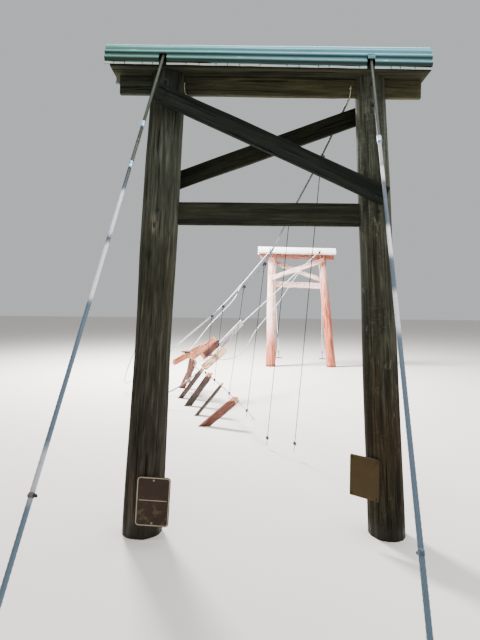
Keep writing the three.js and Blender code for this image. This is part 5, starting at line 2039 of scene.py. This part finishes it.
class FOOTBRIDGE_OT_deck(Operator):
    """Make the torn and trailing planks of the deck."""

    bl_idname = "footbridge.deck"
    bl_label = "Torn deck"

    def execute(self, context):
        iron = rusted_iron("deck_nails", context.scene.footbridge_metal, tone=0.5)
        timbers = {}
        for tone in DECK_TONES:
            levels = getattr(context.scene.footbridge_deck, tone)
            shades = (levels[start:start + 3] for start in (0, 3, 6, 9))
            timbers[tone] = torn_timber(f"{tone}_deck_timber", *shades)

        def materials(tone, broken_tone="fresh"):
            return [timbers[tone], iron, timbers[broken_tone]]

        for index, (foot, near, twist, tone) in enumerate(TRAILING_PLANKS):
            foot, near = Vector(foot), Vector(near)
            along = (near - foot).normalized()
            start, end = foot - along * PLANK_UNDER_WATER, near + along * PLANK_PAST_CABLE
            make_plank(
                f"trailing_plank_{index + 1}", start, end, twist, materials(tone), 200 + index, (0.0, 0.15),
                [f"deck_board_{index + 1}"], cut_at_water=True,
            )
        for index, (start, end, twist, tone) in enumerate(TORN_PLANKS):
            nodes = ["torn_deck"] if index == 0 else []
            broken = (0.04, 0.14) if index else (0.04, 0.05)
            name = f"torn_plank_{index + 1}"
            make_plank(name, start, end, twist, materials(tone), 220 + index, broken, nodes)
        start, end, twist, tone = LOOSE_PLANK
        pale = materials(tone, tone)
        make_plank("loose_plank", start, end, twist, pale, 240, (0.12, 0.0), ["deck_board_6"])
        return {"FINISHED"}


class FOOTBRIDGE_OT_signs(Operator):
    """Make the bare plates on the near poles."""

    bl_idname = "footbridge.signs"
    bl_label = "Signs"

    def execute(self, context):
        brown = faded_paint("sign_brown_paint", linear(47, 34, 26), 0.08)
        cream = faded_paint("sign_cream_paint", linear(150, 140, 122), 0.1)
        notice = faded_paint("notice_brown_paint", linear(61, 47, 22), 0.1)
        painted_bolts = faded_paint("sign_bolt_paint", linear(128, 119, 103), 0.2)
        rusty_bolts = rusted_iron("notice_bolts", context.scene.footbridge_metal, tone=0.35)
        backing = weathered_timber("notice_backing", context.scene.footbridge_boards, 0.0)
        make_sign_plate([brown, cream, painted_bolts])
        make_notice_board([notice, cream, rusty_bolts, backing])
        return {"FINISHED"}


class FOOTBRIDGE_PT_panel(Panel):
    """The footbridge's pieces and colours."""

    bl_idname = "FOOTBRIDGE_PT_panel"
    bl_label = "Footbridge"
    bl_space_type = "VIEW_3D"
    bl_region_type = "UI"
    bl_category = "Footbridge"

    def draw(self, context):
        for operator in OPERATORS:
            self.layout.operator(operator.bl_idname)
        for attribute, group in SETTINGS.items():
            box = self.layout.box()
            box.label(text=group.__doc__)
            for name in group.__annotations__:
                box.prop(getattr(context.scene, attribute), name)


SETTINGS = {
    "footbridge_shaded": ShadedTimberSettings,
    "footbridge_boards": DarkBoardSettings,
    "footbridge_sunlit": SunlitTimberSettings,
    "footbridge_deck": DeckTimberSettings,
    "footbridge_metal": MetalSettings,
    "footbridge_sunlit_metal": SunlitMetalSettings,
    "footbridge_rope": RopeSettings,
    "footbridge_stage": StageSettings,
}
OPERATORS = (
    FOOTBRIDGE_OT_stage,
    FOOTBRIDGE_OT_poles,
    FOOTBRIDGE_OT_tower_boards,
    FOOTBRIDGE_OT_hoods,
    FOOTBRIDGE_OT_fasteners,
    FOOTBRIDGE_OT_cables,
    FOOTBRIDGE_OT_hangers,
    FOOTBRIDGE_OT_deck,
    FOOTBRIDGE_OT_signs,
)


def register():
    for group in (*SETTINGS.values(), *OPERATORS, FOOTBRIDGE_PT_panel):
        bpy.utils.register_class(group)
    for attribute, group in SETTINGS.items():
        setattr(bpy.types.Scene, attribute, bpy.props.PointerProperty(type=group))


def unregister():
    for attribute in SETTINGS:
        delattr(bpy.types.Scene, attribute)
    for group in reversed((*SETTINGS.values(), *OPERATORS, FOOTBRIDGE_PT_panel)):
        bpy.utils.unregister_class(group)


def main():
    register()
    for operator in OPERATORS:
        group, name = operator.bl_idname.split(".")
        getattr(getattr(bpy.ops, group), name)()


if __name__ == "__main__":
    main()
